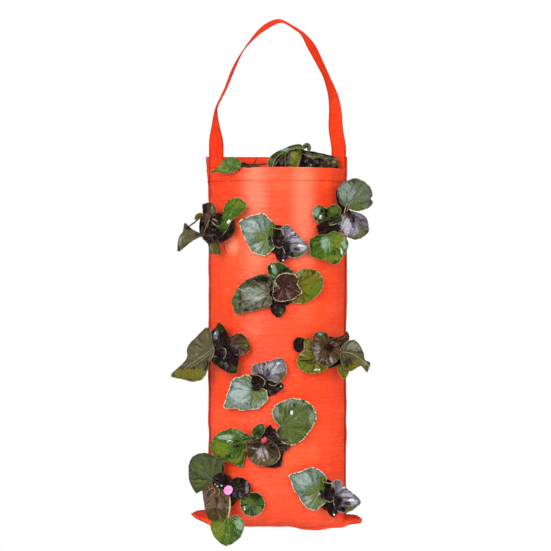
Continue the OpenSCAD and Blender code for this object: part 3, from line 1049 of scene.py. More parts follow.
class Other(Enum):
    """Finishes other than the leaf tones."""

    SHEET = WovenFinish("pouch_sheet", (250, 72, 24), (255, 94, 46), (216, 36, 12))
    WEBBING = WovenFinish("strap_webbing", (226, 56, 22), (244, 76, 36), (168, 24, 12),
        2.0, 0.72, 0.4, 0.06, 0.06)
    THREAD = MottledFinish("seam_thread", (92, 8, 6), (132, 16, 10), 2600.0, 0.08, 0.6)
    PALE_THREAD = MottledFinish("bottom_thread", (196, 40, 16), (222, 60, 26), 2600.0, 0.08, 0.6)
    UNDERSIDE = MottledFinish("leaf_underside", (88, 70, 38), (94, 44, 36), 420.0, 0.2, 0.5)
    STALK = MottledFinish("leaf_stalk", (58, 40, 20), (52, 18, 16), 420.0, 0.12, 0.4, 0.5)
    PALE_STALK = MottledFinish("pale_stalk", (186, 180, 138), (132, 126, 84), 420.0, 0.12, 0.5, 0.3)
    CROWN = MottledFinish("plant_crown", (24, 14, 12), (44, 38, 18), 380.0, 0.5, 0.5)
    MIX = MottledFinish("potting_mix_soil", (34, 22, 14), (66, 45, 29), 330.0, 1.2, 0.9, 0.2)
    BARK = MottledFinish("bark_chip", (78, 50, 30), (112, 78, 48), 520.0, 0.5, 0.85, 0.2)
    PERLITE = MottledFinish("perlite_grain", (206, 200, 186), (232, 228, 216), 900.0, 0.3, 0.9, 0.2)
    PLUG = MottledFinish("root_plug_fibre", (58, 40, 26), (116, 92, 62), 260.0, 1.0, 0.9, 0.2)
    PETAL = MottledFinish("petal_pink", (232, 120, 196), (244, 156, 214), 240.0, 0.15, 0.45)
    BUD = MottledFinish("bud_rose", (176, 66, 84), (150, 44, 52), 320.0, 0.15, 0.45)
    STAMEN = MottledFinish("stamen_yellow", (226, 196, 92), (206, 160, 60), 900.0, 0.3, 0.6)


@dataclass
class Palette:
    """Materials, each made once and handed out by its finish."""

    effects: Effects
    made: dict[Enum, bpy.types.Material] = field(default_factory=dict)

    def get(self, finish: Enum) -> bpy.types.Material:
        """The material of a finish.

        Args:
            finish: a leaf tone or another finish.

        Returns:
            Its material, made at the first call.
        """
        if finish not in self.made:
            self.made[finish] = finish.value.build(self.effects)
        return self.made[finish]


def lens_table(steps: int = 49, fine: int = 400) -> tuple[Array, Array, Array, Array]:
    """Tables of the pouch's plan, a lens with x = a sin t and y = b cos^p t, for depths b from 0 up.

    Args:
        steps: number of depths.
        fine: points on each curve.

    Returns:
        Depths, half arc lengths, and x and y at even shares of each arc.
    """
    t = np.linspace(0.0, np.pi / 2.0, fine)
    depths = np.linspace(0.0, HALF_D, steps)
    share = np.linspace(0.0, 1.0, 161)
    x = np.broadcast_to(HALF_W * np.sin(t), (steps, fine))
    y = depths[:, None] * np.maximum(np.cos(t), 0.0) ** LENS_POWER
    run = np.hypot(np.diff(x, axis=1), np.diff(y, axis=1)).cumsum(axis=1)
    run = np.hstack([np.zeros((steps, 1)), run])
    table_x = np.stack([np.interp(share * r[-1], r, row) for r, row in zip(run, x)])
    table_y = np.stack([np.interp(share * r[-1], r, row) for r, row in zip(run, y)])
    return depths, run[:, -1], table_x, table_y


DEPTHS, ARCS, TABLE_X, TABLE_Y = lens_table()
FULL_ARC = float(ARCS[-1])
FLAT_HALF = FULL_ARC + FLANGE


def lens_place(s: Array, depth: Array) -> tuple[Array, Array]:
    """Plan place of a point of the cloth: along the lens, then straight out along the seam flange.

    Args:
        s: distance across the cloth from its middle, in mm.
        depth: half depth of the pouch at that height, in mm.

    Returns:
        The place across, and the distance out of the seam plane.
    """
    row = np.clip(depth / HALF_D, 0.0, 1.0) * (len(DEPTHS) - 1)
    arc = np.interp(depth, DEPTHS, ARCS)
    col = np.clip(np.abs(s) / arc, 0.0, 1.0) * (TABLE_X.shape[1] - 1)
    i = np.minimum(row.astype(int), len(DEPTHS) - 2)
    j = np.minimum(col.astype(int), TABLE_X.shape[1] - 2)
    f, h = row - i, col - j
    found = []
    for table in (TABLE_X, TABLE_Y):
        low = table[i, j] * (1.0 - h) + table[i, j + 1] * h
        high = table[i + 1, j] * (1.0 - h) + table[i + 1, j + 1] * h
        found.append(low * (1.0 - f) + high * f)
    x = found[0] + np.maximum(np.abs(s) - arc, 0.0)
    return np.sign(s) * x, found[1]


def arc_at(x: float) -> float:
    """Distance across the cloth of the place x, where the pouch is at its full depth."""
    share = np.interp(abs(x), TABLE_X[-1], np.linspace(0.0, 1.0, TABLE_X.shape[1]))
    return math.copysign(share * FULL_ARC, x)


def seam_rise(x: Array) -> Array:
    """Height of the bottom seam: the corners lift by a fifth power, and the mix presses a sag into it.

    Args:
        x: place across, in mm.

    Returns:
        The height over the level seam, in mm.
    """
    sag = SEAM_SAG * bell(x, SAG_PLACE, SAG_REACH)
    reach = np.abs(x) / FLAT_HALF - 0.35 * np.maximum(x / FLAT_HALF - 0.82, 0.0)
    return EAR_LIFT * reach**5 - sag


# The middles of the planting holes, across and up, as in the part's source
HOLES = (
    (-88.0, -346.0), (0.0, -367.0), (88.0, -342.0), (8.0, -452.0), (-88.0, -554.0),
    (90.0, -557.0), (-18.0, -608.0), (-14.0, -714.0), (-84.0, -797.0), (86.0, -803.0),
)

# Painted sheens of each panel, pale patches of painted highlight: middle across and up, half
# width, half height and strength
FRONT_SHEENS = (
    (-38.0, -300.0, 38.0, 290.0, 0.77),
    (43.0, -320.0, 37.0, 260.0, 0.8),
    (3.0, -290.0, 40.0, 160.0, 0.3),
    (-74.0, -378.0, 20.0, 26.0, 1.0),
    (-46.0, -500.0, 50.0, 26.0, 0.5),
    (-40.0, -575.0, 16.0, 60.0, 0.3),
    (-44.0, -520.0, 34.0, 30.0, 0.6),
    (-46.0, -838.0, 30.0, 24.0, 0.6),
)
BACK_SHEENS = ((0.0, -420.0, 60.0, 120.0, 0.4),)


@dataclass
class Panel:
    """One sewn panel of the pouch, from its turned-in hem to its bottom seam allowance.

    A point of the cloth is s mm across from its middle and v mm down from the fold of its rim;
    v is negative on the part of the hem that is turned inside.

    Fields:
        name: its piece's name.
        node: the solid that it stands for.
        side: -1 for the front panel and 1 for the back one.
        rim: height of its rim.
        sheens: its painted sheens, pale patches of painted highlight.
        holes: middles of its planting holes.
        seed: picks its creases.
        dip: depth in mm to which its rim hangs: 0.3 of it in the middle, and 1.3 at both ends.
        wall: thickness of the cloth in mm.
        columns: points across.
        pitch: step down the cloth in mm.
    """

    name: str
    node: str
    side: float
    rim: float
    sheens: tuple[tuple[float, ...], ...]
    holes: tuple[Pair, ...] = ()
    seed: int = 1
    dip: float = 0.0
    wall: float = 0.72
    columns: int = 150
    pitch: float = 2.3
    phi: Array = field(init=False)
    run: Array = field(init=False)
    straight: float = field(init=False)
    seam: float = field(init=False)
    length: float = field(init=False)

    def __post_init__(self) -> None:
        """Works out the lengths of the straight, round and flat stretches of the cloth."""
        self.phi = np.linspace(0.0, np.pi / 2.0, 200)
        z, y = BELLY * (1.0 - np.sin(self.phi)), HALF_D * np.cos(self.phi)
        self.run = np.concatenate([[0.0], np.hypot(np.diff(z), np.diff(y)).cumsum()])
        self.straight = self.rim - (SEAM_Z + BELLY)
        self.seam = self.straight + self.run[-1]
        self.length = self.seam + SEAM_TAIL

    def height(self, v: Array) -> tuple[Array, Array, Array]:
        """Height, pouch depth and corner lift at a distance down the cloth.

        The belly is a quarter of an ellipse, and the lift grows with the angle round it.

        Args:
            v: distance down the cloth.

        Returns:
            The height, the pouch's half depth there, and the share of the corners' lift.
        """
        v = np.abs(v)
        phi = np.interp(v - self.straight, self.run, self.phi)
        z = np.where(v < self.straight, self.rim - v, SEAM_Z + BELLY * (1.0 - np.sin(phi)))
        z = np.where(v > self.seam, SEAM_Z - (v - self.seam), z)
        lift = LIFT_START * ramp(self.straight - LIFT_RUN, self.straight, v)
        return z, HALF_D * np.cos(phi), lift + (1.0 - LIFT_START) * phi / (np.pi / 2.0)

    def base(self, s: Array, v: Array) -> Array:
        """Point of the pouch's inner face under a point of the cloth.

        Args:
            s: distance across the cloth.
            v: distance down the cloth.

        Returns:
            The point, in mm.
        """
        z, depth, lift = self.height(v)
        x, y = lens_place(s, depth)
        room = np.interp(z, [TAB_END - HEM, TAB_END], [FIT, STRAP_T + 2.0 * FIT])
        return np.stack([x, self.side * (y + room / 2.0), z + lift * seam_rise(x)], -1)

    def normal(self, s: Array, v: Array) -> Array:
        """Unit direction out of the pouch, from small steps across and down the inner face.

        Args:
            s: distance across the cloth.
            v: distance down the cloth.

        Returns:
            The unit direction.
        """
        v = np.clip(np.abs(v), 1.0, self.length - 1.0)
        s = np.clip(s, -FLAT_HALF + 1.0, FLAT_HALF - 1.0)
        across = self.base(s + 0.8, v) - self.base(s - 0.8, v)
        down = self.base(s, v + 0.8) - self.base(s, v - 0.8)
        return unit(np.cross(across, down)) * self.side

    def crinkle(self, s: Array, v: Array) -> Array:
        """How far the cloth stands out from its smooth shape, in mm.

        It is a sum of broad swells, weft-wise creases, slanted dents, puckers at the hem, at the
        side seams and above the bottom seam, and a small rise round each hole. It never
        goes below the smooth shape, by a soft floor, and it fades out at the seams.

        Args:
            s: distance across the cloth.
            v: distance down the cloth.

        Returns:
            The stand-out, in mm.
        """
        n = self.seed
        v = np.abs(v)
        out = 1.1 * soft_field(s / 62.0 + 5.0, v / 95.0 + 3.0, n)
        out += 0.42 * ridges(s / 46.0 + 9.0, v / 10.5, n + 1)
        out += 0.24 * ridges(s / 19.0, v / 5.2, n + 2)
        out += 0.5 * soft_field((s + v) / 26.0 + 30.0, (s - v) / 58.0 + 30.0, n + 3)
        out += 0.4 * ridges((s * 0.5 + v) / 31.0 + 30.0, (s - v * 0.4) / 40.0 + 30.0, n + 4)
        hem = np.exp(-np.maximum(v - HEM, 0.0) / 16.0) * ramp(HEM - 14.0, HEM, v)
        out += 0.55 * soft_field(s / 8.0 + 20.0, v / 30.0, n + 5) * hem
        side = np.exp(-np.maximum(FULL_ARC - np.abs(s), 0.0) / 13.0)
        out += 1.2 * soft_field(s / 30.0, v / 15.0, n + 6) * side
        low = ramp(self.straight - 60.0, self.seam - 8.0, v)
        out += 1.5 * soft_field(s / 15.0 + 40.0, v / 70.0, n + 7) * low
        out += 1.0 * ridges((s + 0.7 * v) / 34.0, (s - 0.7 * v) / 60.0 + 30.0, n + 8) * low
        # One long slanted fold above the right ear
        fold = (v - self.seam + 22.0 + 0.44 * (s - 125.0)) / 1.09
        out += 2.2 * bell(fold, 0.0, 2.6) * ramp(60.0, 84.0, s) * ramp(146.0, 126.0, s)
        for x, z in self.holes:
            gap = np.maximum(np.hypot(s - arc_at(x), v - (self.rim - z)) - HOLE_R, 0.0)
            out += 1.1 * np.exp(-gap / 6.0) * (0.7 + 0.3 * np.sin(5.0 * s + 3.0 * v))
        _, depth, _ = self.height(v)
        arc = np.interp(depth, DEPTHS, ARCS)
        held = ramp(0.0, 9.0, arc - np.abs(s)) * ramp(0.0, 10.0, self.seam - v)
        return (0.3 + np.log1p(np.exp(2.2 * (out + 0.6))) / 2.2) * held

    def flutter(self, s: Array, v: Array) -> Array:
        """Shift of the flat seam flanges, the same on both panels.

        The flanges wave in and out and sideways. The ears are drawn out sideways to a round
        outline, the flanges flare at the back rim, and the bottom edge waves up and down.

        Args:
            s: distance across the cloth.
            v: distance down the cloth.

        Returns:
            The shift along each axis, in mm.
        """
        z, depth, _ = self.height(v)
        x, _ = lens_place(s, depth)
        arc = np.interp(depth, DEPTHS, ARCS)
        right, way, rise = x > 0.0, np.sign(x), z - SEAM_Z
        fin = ramp(-6.0, 3.0, np.abs(s) - arc) * ramp(0.0, 30.0, TAB_END - z)
        tail = ramp(-3.0, 6.0, np.abs(v) - self.seam)
        ear = ramp(HALF_W + 4.0, FLAT_HALF, np.abs(x)) * ramp(SEAM_Z + 60.0, SEAM_Z, z)
        out = 1.3 * soft_field(z / 19.0 + 80.0, way * 3.0 + 20.0, 71) * fin
        out += 1.6 * soft_field(x / 17.0 + 30.0, 4.0, 72) * tail
        out -= 9.0 * ear**2 * (1.0 + 0.4 * way)
        sway = 0.9 * soft_field(z / 26.0 + 60.0, way * 5.0 + 30.0, 73) * fin
        less = np.where(right, EAR_LESS, 0.0)
        level = (rise - EAR_MID + less) / (EAR_HALF - less)
        round_off = np.clip(1.0 - level**2, 0.0, 1.0) ** EAR_POWER
        wanted = HALF_W + FLANGE + np.where(right, *EAR_REACH) * round_off
        pull = np.clip((np.abs(s) - arc) / (FLAT_HALF - arc), 0.0, 1.0) * ramp(45.0, 30.0, rise)
        sway = sway + way * pull * (wanted - HALF_W - FLAT_HALF + arc)
        flare = ramp(-1.0, FLANGE, np.abs(s) - arc) * bell(z, BACK_RIM, 30.0)
        sway = sway + way * flare * np.where(x < 0.0, 4.0, 1.0)
        sink = 0.9 * soft_field(x / 21.0 + 50.0, 9.0, 74) * tail
        sink = sink - np.where(right, 4.5, 0.5) * ear - 3.0 * bell(np.abs(x), HALF_W, 13.0) * tail
        sink = sink + tail * (1.6 * bell(x, 5.0, 35.0) - 2.2 * bell(x, 70.0, 26.0))
        return np.stack([sway, out, sink], -1)

    def surface(self, s: Array, v: Array) -> tuple[Array, Array]:
        """Middle of the cloth and its outward direction.

        The hem has two layers: the fold is a half circle at the rim, and below the hem's stitch
        line the outer layer steps in by one wall.

        Args:
            s: distance across the cloth.
            v: distance down the cloth.

        Returns:
            The points and the unit directions.
        """
        bend = SHEET_WALL / 2.0
        turn = np.clip(v / bend, -np.pi / 2.0, np.pi / 2.0)
        down = np.maximum(np.abs(v) - bend * np.pi / 2.0, 0.0) + bend * (1.0 - np.cos(turn))
        inward = bend * (1.0 - np.sin(turn))
        step = SHEET_WALL * (1.0 - ramp(HEM - 0.5, HEM + 2.5, v))
        groove = 0.45 * bell(np.abs(v), HEM - HEM_STITCH, 1.3)
        normal = self.normal(s, down)
        out = SHEET_WALL / 2.0 + step - inward + self.crinkle(s, down) - groove
        shift = self.flutter(s, down)
        shift[..., 2] -= self.dip * (0.3 + (s / FLAT_HALF) ** 2) * ramp(70.0, 0.0, down)
        return self.base(s, down) + normal * out[..., None] + shift, normal

    def spread(self) -> tuple[Array, Array, Array]:
        """Grid over the cloth, opened into round holes.

        Round each hole the square rings of the grid are blended into circles, from the hole's rim
        out to about twice its size, and the quads inside the hole are left out.

        Returns:
            Distances across and down the cloth at each point, and True for each quad that is kept.
        """
        low = self.seam - 22.0
        down = [
            np.linspace(-HEM, -2.0, 11),
            np.linspace(-0.9, 0.9, 7),
            np.linspace(2.0, low, int((low - 2.0) / self.pitch) + 1),
            np.linspace(low, self.length, 23)[1:],
        ]
        across = np.linspace(-FLAT_HALF, FLAT_HALF, self.columns)
        v, s = np.meshgrid(np.concatenate(down), across, indexing="ij")
        inside = np.zeros(s.shape, bool)
        step = s[0, 1] - s[0, 0]
        inner, outer = 0.86 * HOLE_R, 1.8 * HOLE_R
        for x, z in self.holes:
            mid_s, mid_v = arc_at(x), self.rim - z
            near = int(np.argmin(np.abs(v[:, 0] - mid_v))), int(np.argmin(np.abs(s[0] - mid_s)))
            rows, cols = round(inner / self.pitch), round(inner / step)
            ds, dv = (s - s[near]) / (cols * step), (v - v[near]) / (rows * self.pitch)
            ring, angle = np.maximum(np.abs(ds), np.abs(dv)), np.arctan2(dv, ds)
            weight = 1.0 - ramp(1.0, outer / inner, ring)
            hit = (ring < outer / inner) & (ring > 0.99)
            round_s, round_v = mid_s + ring * HOLE_R * np.cos(angle), mid_v + ring * HOLE_R * np.sin(angle)
            s = np.where(hit, weight * round_s + (1 - weight) * s, s)
            v = np.where(hit, weight * round_v + (1 - weight) * v, v)
            inside |= ring < 0.99
        open_quads = inside[:-1, :-1] | inside[1:, :-1] | inside[:-1, 1:] | inside[1:, 1:]
        return s, v, ~open_quads

    def paint(self, s: Array, v: Array, mid: Array) -> Array:
        """Painted values: painted shade along the side seams and on ears, brim and flanges, and painted
        sheens.

        Args:
            s: distance across the cloth.
            v: distance down the cloth.
            mid: the cloth's middle surface.

        Returns:
            One value for each Mask at each point.
        """
        masks = np.zeros((*s.shape, len(Mask)))
        z, depth, _ = self.height(v)
        v, rise = np.abs(v), z - SEAM_Z
        past = np.abs(s) - np.interp(depth, DEPTHS, ARCS)
        # Painted shade along the side seams
        masks[..., Mask.DARK.row] = 0.8 * ramp(-3.0, 3.0, past) * ramp(-10.0, 60.0, self.seam - v)
        # Painted shade along the ears' outline, at the ends of the brim and on the lower flanges
        reach = np.clip((np.abs(mid[..., 0]) - HALF_W - FLANGE) / EAR_SHADE, 0.0, 1.0)
        less = np.where(s > 0.0, EAR_LESS, 0.0)
        top = (EAR_HALF - less) * np.sqrt(1.0 - reach ** (1.0 / EAR_POWER)) + EAR_MID - less - rise
        tip = np.interp(np.abs(s), (FLAT_HALF - 8.0, FLAT_HALF), (12.0, 0.0))
        edge = np.minimum(np.minimum(top, rise + SEAM_TAIL + 0.6), tip)
        corner = ramp(3.6, 1.8, edge) * ramp(0.04, 0.12, reach)
        brim = ramp(FLAT_HALF - 2.6, FLAT_HALF - 0.8, np.abs(s)) * ramp(70.0, 20.0, np.abs(v - 10.0))
        flange = 0.6 * ramp(0.3, 2.2, past) * ramp(60.0, 160.0, v) * ramp(10.0, 50.0, self.seam - v)
        masks[..., Mask.SECOND.row] = np.maximum(np.maximum(corner, 0.8 * brim), flange)
        # Painted sheens, pale patches of painted highlight
        sheen = masks[..., Mask.SILVER_AND_SHEEN.row]
        for x, up, wide, high, strength in self.sheens:
            off = np.hypot((s - arc_at(x)) / wide, (v - self.rim + up) / high)
            sheen[:] = np.maximum(sheen, strength * (1.0 - ramp(0.1, 1.3, off)))
        return masks

    def build(self, palette: Palette) -> bpy.types.Object:
        """Args:
            palette: hands out the materials.

        Returns:
            The panel's object.
        """
        s, v, keep = self.spread()
        mid, _ = self.surface(s, v)
        points, faces, where = thick_sheet(mid, self.wall, keep)
        place = np.stack([s, v], -1).reshape(-1, 2)[where] * MM + 1.0
        masks = self.paint(s, v, mid).reshape(-1, len(Mask))[where]
        parts = MeshParts()
        parts.add(points, faces, place=place, masks=masks)
        cloth = parts.make(self.name, [palette.get(Other.SHEET)])
        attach(cloth, "bag")
        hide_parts(self.node)
        seams = self.sew(palette)
        return cloth

    def sew(self, palette: Palette) -> list[bpy.types.Object]:
        """Makes the rows of thread: along the hem, down both sides and along the bottom.

        Args:
            palette: hands out the materials.

        Returns:
            The rows in dark thread, and the bottom row in pale thread.
        """
        parts, low = MeshParts(), MeshParts()
        pace, length, thick = 4.2, 3.4, 1.0
        across = np.arange(-FLAT_HALF + 5.0, FLAT_HALF - 5.0, pace)
        down = np.arange(3.0, self.seam, pace)
        down = down[self.height(down)[0] > SEAM_Z + 34.0]
        rows = [(across, np.full(len(across), at), 0.5) for at in (HEM - HEM_STITCH, self.seam + 2.0)]
        # Bar tacks across both ends of the hem
        tack = np.concatenate([edge + np.linspace(-4.0, 2.0, 5) for edge in (-FULL_ARC, FULL_ARC + 2.0)])
        rows += [(tack, np.full(len(tack), HEM - HEM_STITCH + shift), 0.5) for shift in (-0.9, 0.9)]
        arc = np.interp(self.height(down)[1], DEPTHS, ARCS)
        rows += [(sign * (arc + 1.6), down, 0.0) for sign in (-1.0, 1.0)]
        for s, v, step in rows:
            here, normal = self.surface(s, v)
            ahead, _ = self.surface(s + step, v + 0.5 - step)
            target = low if np.abs(v).min() > self.seam else parts
            stitches(target, here + normal * self.wall / 2.0, unit(ahead - here), normal, length, thick)
        sewn = [
            parts.make(self.name + "_stitches", [palette.get(Other.THREAD)]),
            low.make(self.name + "_bottom_stitches", [palette.get(Other.PALE_THREAD)]),
        ]
        for row in sewn:
            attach(row, "bag")
        return sewn


@dataclass
class Strap:
    """The hanging strap: one folded band from one sewn end, over the hook, to the other.

    It is carried along the route of the part's source, turned edge-on by the listed angles.

    Fields:
        route: places of the arch, across and up in mm.
        turn: angle at each place, in degrees; 0 is flat to the front.
        steps: rows of points between two places.
        end_rows: rows of points on each sewn end.
        around: points round the band.
        edge_power: power of the profile's cosine, which rounds its edges.
        face_power: power of its sine, which flattens its faces.
        body: thickness between the rolled edges, as a share of the solid's.
    """

    route: tuple[Pair, ...] = (
        (-104, -212), (-105, -182), (-105, -158), (-102, -142), (-88, -114), (-74, -79), (-57, -48),
        (-36, -23), (-18, -8), (0, 0), (13, -2), (30, -12), (43, -22), (57, -42),
        (70, -67), (83, -94), (94, -125), (98, -152), (99, -182), (104, -212),
    )
    turn: tuple[float, ...] = (
        0, 50, 73, 82, 80, 78, 86, 75, 67, 71, 80, 78, 73, 56, 59, 63, 48, 30, 10, 0
    )
    steps: int = 12
    end_rows: int = 16
    around: int = 44
    edge_power: float = 0.55
    face_power: float = 0.35
    body: float = 0.86

    def path(self) -> tuple[Array, Array]:
        """Middle line of the band and its turn in degrees, sewn ends included.

        Returns:
            The points, across and up in mm, and the turn at each.
        """
        t = np.linspace(0.0, len(self.route) - 1.0, (len(self.route) - 1) * self.steps + 1)
        route = spline(np.array(self.route, float), t)
        turn = spline(np.array(self.turn, float), t)
        drop = np.linspace(TAB_END, HINGE_Z, self.end_rows, endpoint=False)
        left = np.stack([np.full(self.end_rows, -STRAP_X), drop], -1)
        right = np.stack([np.full(self.end_rows, STRAP_X), drop[::-1]], -1)
        # The middle of the band runs half its thickness above the hook, and on the hinge at the ends
        x, z = route.T
        lifted = z + STRAP_T / 2.0 * ramp(HINGE_Z, HINGE_Z + 12.0, z)
        route = np.stack([x, np.where(np.abs(z) > 0, lifted, STRAP_T / 2.0)], -1)
        flat = np.zeros(self.end_rows)
        return np.vstack([left, route, right]), np.concatenate([flat, turn, flat])

    def build(self, palette: Palette) -> bpy.types.Object:
        """Makes the band: a flat oval profile with rolled edges and a soft middle crease.

        The profile's half width runs as the cosine of its angle and its half thickness as a high
        root of the sine, so its faces are flat and its edges round.

        Args:
            palette: hands out the materials.

        Returns:
            The band's object.
        """
        line, turn = self.path()
        mid = np.stack([line[:, 0], np.zeros(len(line)), line[:, 1]], -1)
        along = unit(np.gradient(mid, axis=0))
        outward = np.stack([-along[:, 2], np.zeros(len(line)), along[:, 0]], -1)
        angle = np.radians(turn)[:, None]
        back = np.array([0.0, 1.0, 0.0])
        wide = np.cos(angle) * outward + np.sin(angle) * back
        thick = np.sin(angle) * outward - np.cos(angle) * back
        run = np.concatenate([[0.0], np.linalg.norm(np.diff(mid, axis=0), axis=1).cumsum()])
        phi = 2.0 * np.pi * np.arange(self.around) / self.around
        flat = np.sign(np.cos(phi)) * np.abs(np.cos(phi)) ** self.edge_power
        high = np.sign(np.sin(phi)) * np.abs(np.sin(phi)) ** self.face_power
        half = STRAP_W / 2.0
        free = ramp(HINGE_Z, HINGE_Z + 25.0, line[:, 1])[:, None]
        lie = flat[None] * half * (1.0 + 0.012 * soft_field(run / 23.0, 3.0, 5)[:, None] * free)
        rim = 1.0 + 0.28 * bell(np.abs(lie), half - 1.6, 0.9)
        crease = 1.0 - 0.3 * bell(lie, 0.0, 0.8)
        bow = 0.9 * free * (1.0 - (lie / half) ** 2) * soft_field(run / 60.0 + 9.0, 0.0, 8)[:, None]
        ripple = 0.22 * free * soft_field(run[:, None] / 7.0 + 3.0, lie / 9.0 + 9.0, 6)
        depth = high[None] * STRAP_T / 2.0 * self.body * rim * crease + bow + ripple
        points = mid[:, None] + wide[:, None] * lie[..., None] + thick[:, None] * depth[..., None]
        first = np.arange(self.around)[None]
        last = first + (len(line) - 1) * self.around
        faces = [grid_faces(len(line), self.around, True), first[:, ::-1], last]
        place = np.stack([lie, np.broadcast_to(run[:, None], lie.shape)], -1)
        masks = np.zeros((*lie.shape, len(Mask)))
        # Painted shade at the band's edges, and in folds near its sewn ends
        folds = ramp(0.9, 1.6, soft_field(run[:, None] / 16.0 + 40.0, lie / 30.0 + 9.0, 9))
        edge = 0.7 * ramp(half - 3.0, half - 1.0, np.abs(lie))
        masks[..., Mask.DARK.row] = np.maximum(edge, 0.8 * folds * (1.0 - 0.8 * free))
        parts = MeshParts()
        parts.add(points, faces, place=place * MM + 1.0, masks=masks)
        band = parts.make("strap_band", [palette.get(Other.WEBBING)])
        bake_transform(band)
        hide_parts("strap", "strap_end_left", "strap_end_right")
        log.info("strap_band: %.0f mm long", run[-1])
        self.sew(palette)
        return band

    def sew(self, palette: Palette) -> bpy.types.Object:
        """Makes the rows of thread that hold the strap's ends, along their outer and inner edges.

        Args:
            palette: hands out the materials.

        Returns:
            The thread's object.
        """
        parts = MeshParts()
        pace, length, thick, bottom = 5.4, 4.2, 0.9, -246.0
        outer, inner = (2.2, -214.0), (22.6, -232.0)
        for sign in (-1.0, 1.0):
            for inset, top in (outer, inner):
                z = np.arange(bottom, top, pace)
                x = sign * (STRAP_X + STRAP_W / 2.0 - inset)
                for face in (-1.0, 1.0):
                    place = np.stack([np.full(len(z), x), np.full(len(z), face * STRAP_T * 0.43), z], -1)
                    along = np.broadcast_to(np.array([0.0, 0.0, 1.0]), place.shape)
                    normal = np.broadcast_to(np.array([0.0, face, 0.0]), place.shape)
                    stitches(parts, place, along, normal, length, thick)
        made = parts.make("strap_stitches", [palette.get(Other.THREAD)])
        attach(made, "bag")
        return made


@dataclass
class Filling:
    """Potting mix and root plugs: the solids keep their shape, under a crumbly top layer.

    Fields:
        seed: picks the lumps and the crumbs.
        crumbs: number of loose bits; one in every pale_every is a pale grain.
        rings: rings of points from the middle of the top to its edge.
        around: points in each ring.
        inset: how far the top stays inside the pouch across and in depth, in mm.
        heap: height of the top over the solid at its lowest, and what it rises more, in mm.
    """

    seed: int = 21
    crumbs: int = 420
    pale_every: int = 5
    rings: int = 46
    around: int = 200
    inset: Pair = (3.5, 2.2)
    heap: Pair = (0.6, 3.2)

    def top(self, share: Array, angle: Array) -> Array:
        """Point of the mix's loose top: a share of the way to the lens's edge, lumpy at three scales.

        Args:
            share: share of the way from the middle to the edge.
            angle: direction from the middle, in radians.

        Returns:
            The point, in mm.
        """
        x = (HALF_W - self.inset[0]) * share * np.sin(angle)
        bow = np.sign(np.cos(angle)) * np.abs(np.cos(angle)) ** LENS_POWER
        y = (HALF_D - self.inset[1]) * share * bow
        lumps = 2.0 * soft_field(x / 24.0 + 9.0, y / 24.0 + 9.0, self.seed)
        lumps = lumps + 1.5 * soft_field(x / 7.0 + 30.0, y / 7.0 + 30.0, self.seed + 1)
        lumps = lumps + 0.8 * soft_field(x / 2.6 + 70.0, y / 2.6 + 70.0, self.seed + 2)
        room = 1.0 - ramp(70.0, 96.0, np.abs(x)) * 0.9
        low, rise = self.heap
        return np.stack([x, y, MIX_TOP + low + (rise + lumps) * room], -1)

    def build(self, palette: Palette) -> None:
        """Makes the loose top and its crumbs, and gives the solids below their finishes.

        Args:
            palette: hands out the materials.
        """
        share = np.linspace(1.0 / self.rings, 1.0, self.rings)
        angle = 2.0 * np.pi * np.arange(self.around) / self.around
        share, angle = np.meshgrid(share, angle, indexing="ij")
        sheet = self.top(share, angle)
        floor = np.array([0.0, 0.0, MIX_TOP - 1.0])
        skirt = sheet[-1] * np.array([1.0, 1.0, 0.0]) + floor
        points = np.vstack([self.top(np.zeros(1), np.zeros(1)), sheet.reshape(-1, 3), skirt, floor[None]])
        last = self.rings * self.around + 1
        sides = grid_faces(self.rings + 1, self.around, True) + 1
        base = fan_faces(self.around, last + self.around, last)
        parts = MeshParts()
        parts.add(points, [fan_faces(self.around)[:, ::-1], sides, base])
        rng = np.random.default_rng(self.seed + 5)
        share = np.sqrt(rng.uniform(0.0, 0.93, self.crumbs))
        turn = rng.uniform(0.0, 2.0 * np.pi, self.crumbs)
        for number, seat in enumerate(self.top(share, turn)):
            pale = number % self.pale_every == 0
            size = rng.uniform(0.9, 2.2) * (0.8 if pale else 1.0)
            if pale:
                radii = size * np.array([1.0, 1.0, 0.9])
            else:
                radii = size * (rng.uniform(0.5, 1.9, 3) * np.array([1.0, 1.0, 0.6]))
            seat = seat + np.array([0.0, 0.0, size * 0.2])
            parts.add(*ball(seat, radii, 5, 7, 0.5, number), slot=1 if pale else 2)
        finishes = [palette.get(f) for f in (Other.MIX, Other.PERLITE, Other.BARK)]
        loose = parts.make("mix_top_crumbs", finishes)
        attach(loose, "bag")
        self.dress("potting_mix", palette.get(Other.MIX))
        for number in range(1, len(HOLES) + 1):
            self.dress(f"root_plug_{number}", palette.get(Other.PLUG))
        log.info("mix_top_crumbs: %d crumbs", self.crumbs)

    def dress(self, node: str, material: bpy.types.Material) -> None:
        """Gives a solid of the frame its finish.

        Args:
            node: name of the solid.
            material: its finish.
        """
        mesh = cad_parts[node].data
        mesh.materials.clear()
        mesh.materials.append(material)


def face_depth(x: Array) -> Array:
    """Distance of the pouch's outer face in front of the seam plane."""
    return SHEET_WALL + HALF_D * np.maximum(1.0 - (x / HALF_W) ** 2, 0.0) ** (LENS_POWER / 2.0)


def drape_depth(x: Array) -> Array:
    """Softer, wider curve than the pouch's face, which the leaves follow."""
    return SHEET_WALL + HALF_D * np.maximum(1.0 - (x / DRAPE_W) ** 2, 0.0) ** DRAPE_POWER


def pack_rings(grid: Array) -> Array:
    """Rows of a blade's grid: one point for the middle, then every point of the other rings."""
    return np.vstack([grid[0, :1], grid[1:].reshape(-1, grid.shape[-1])])


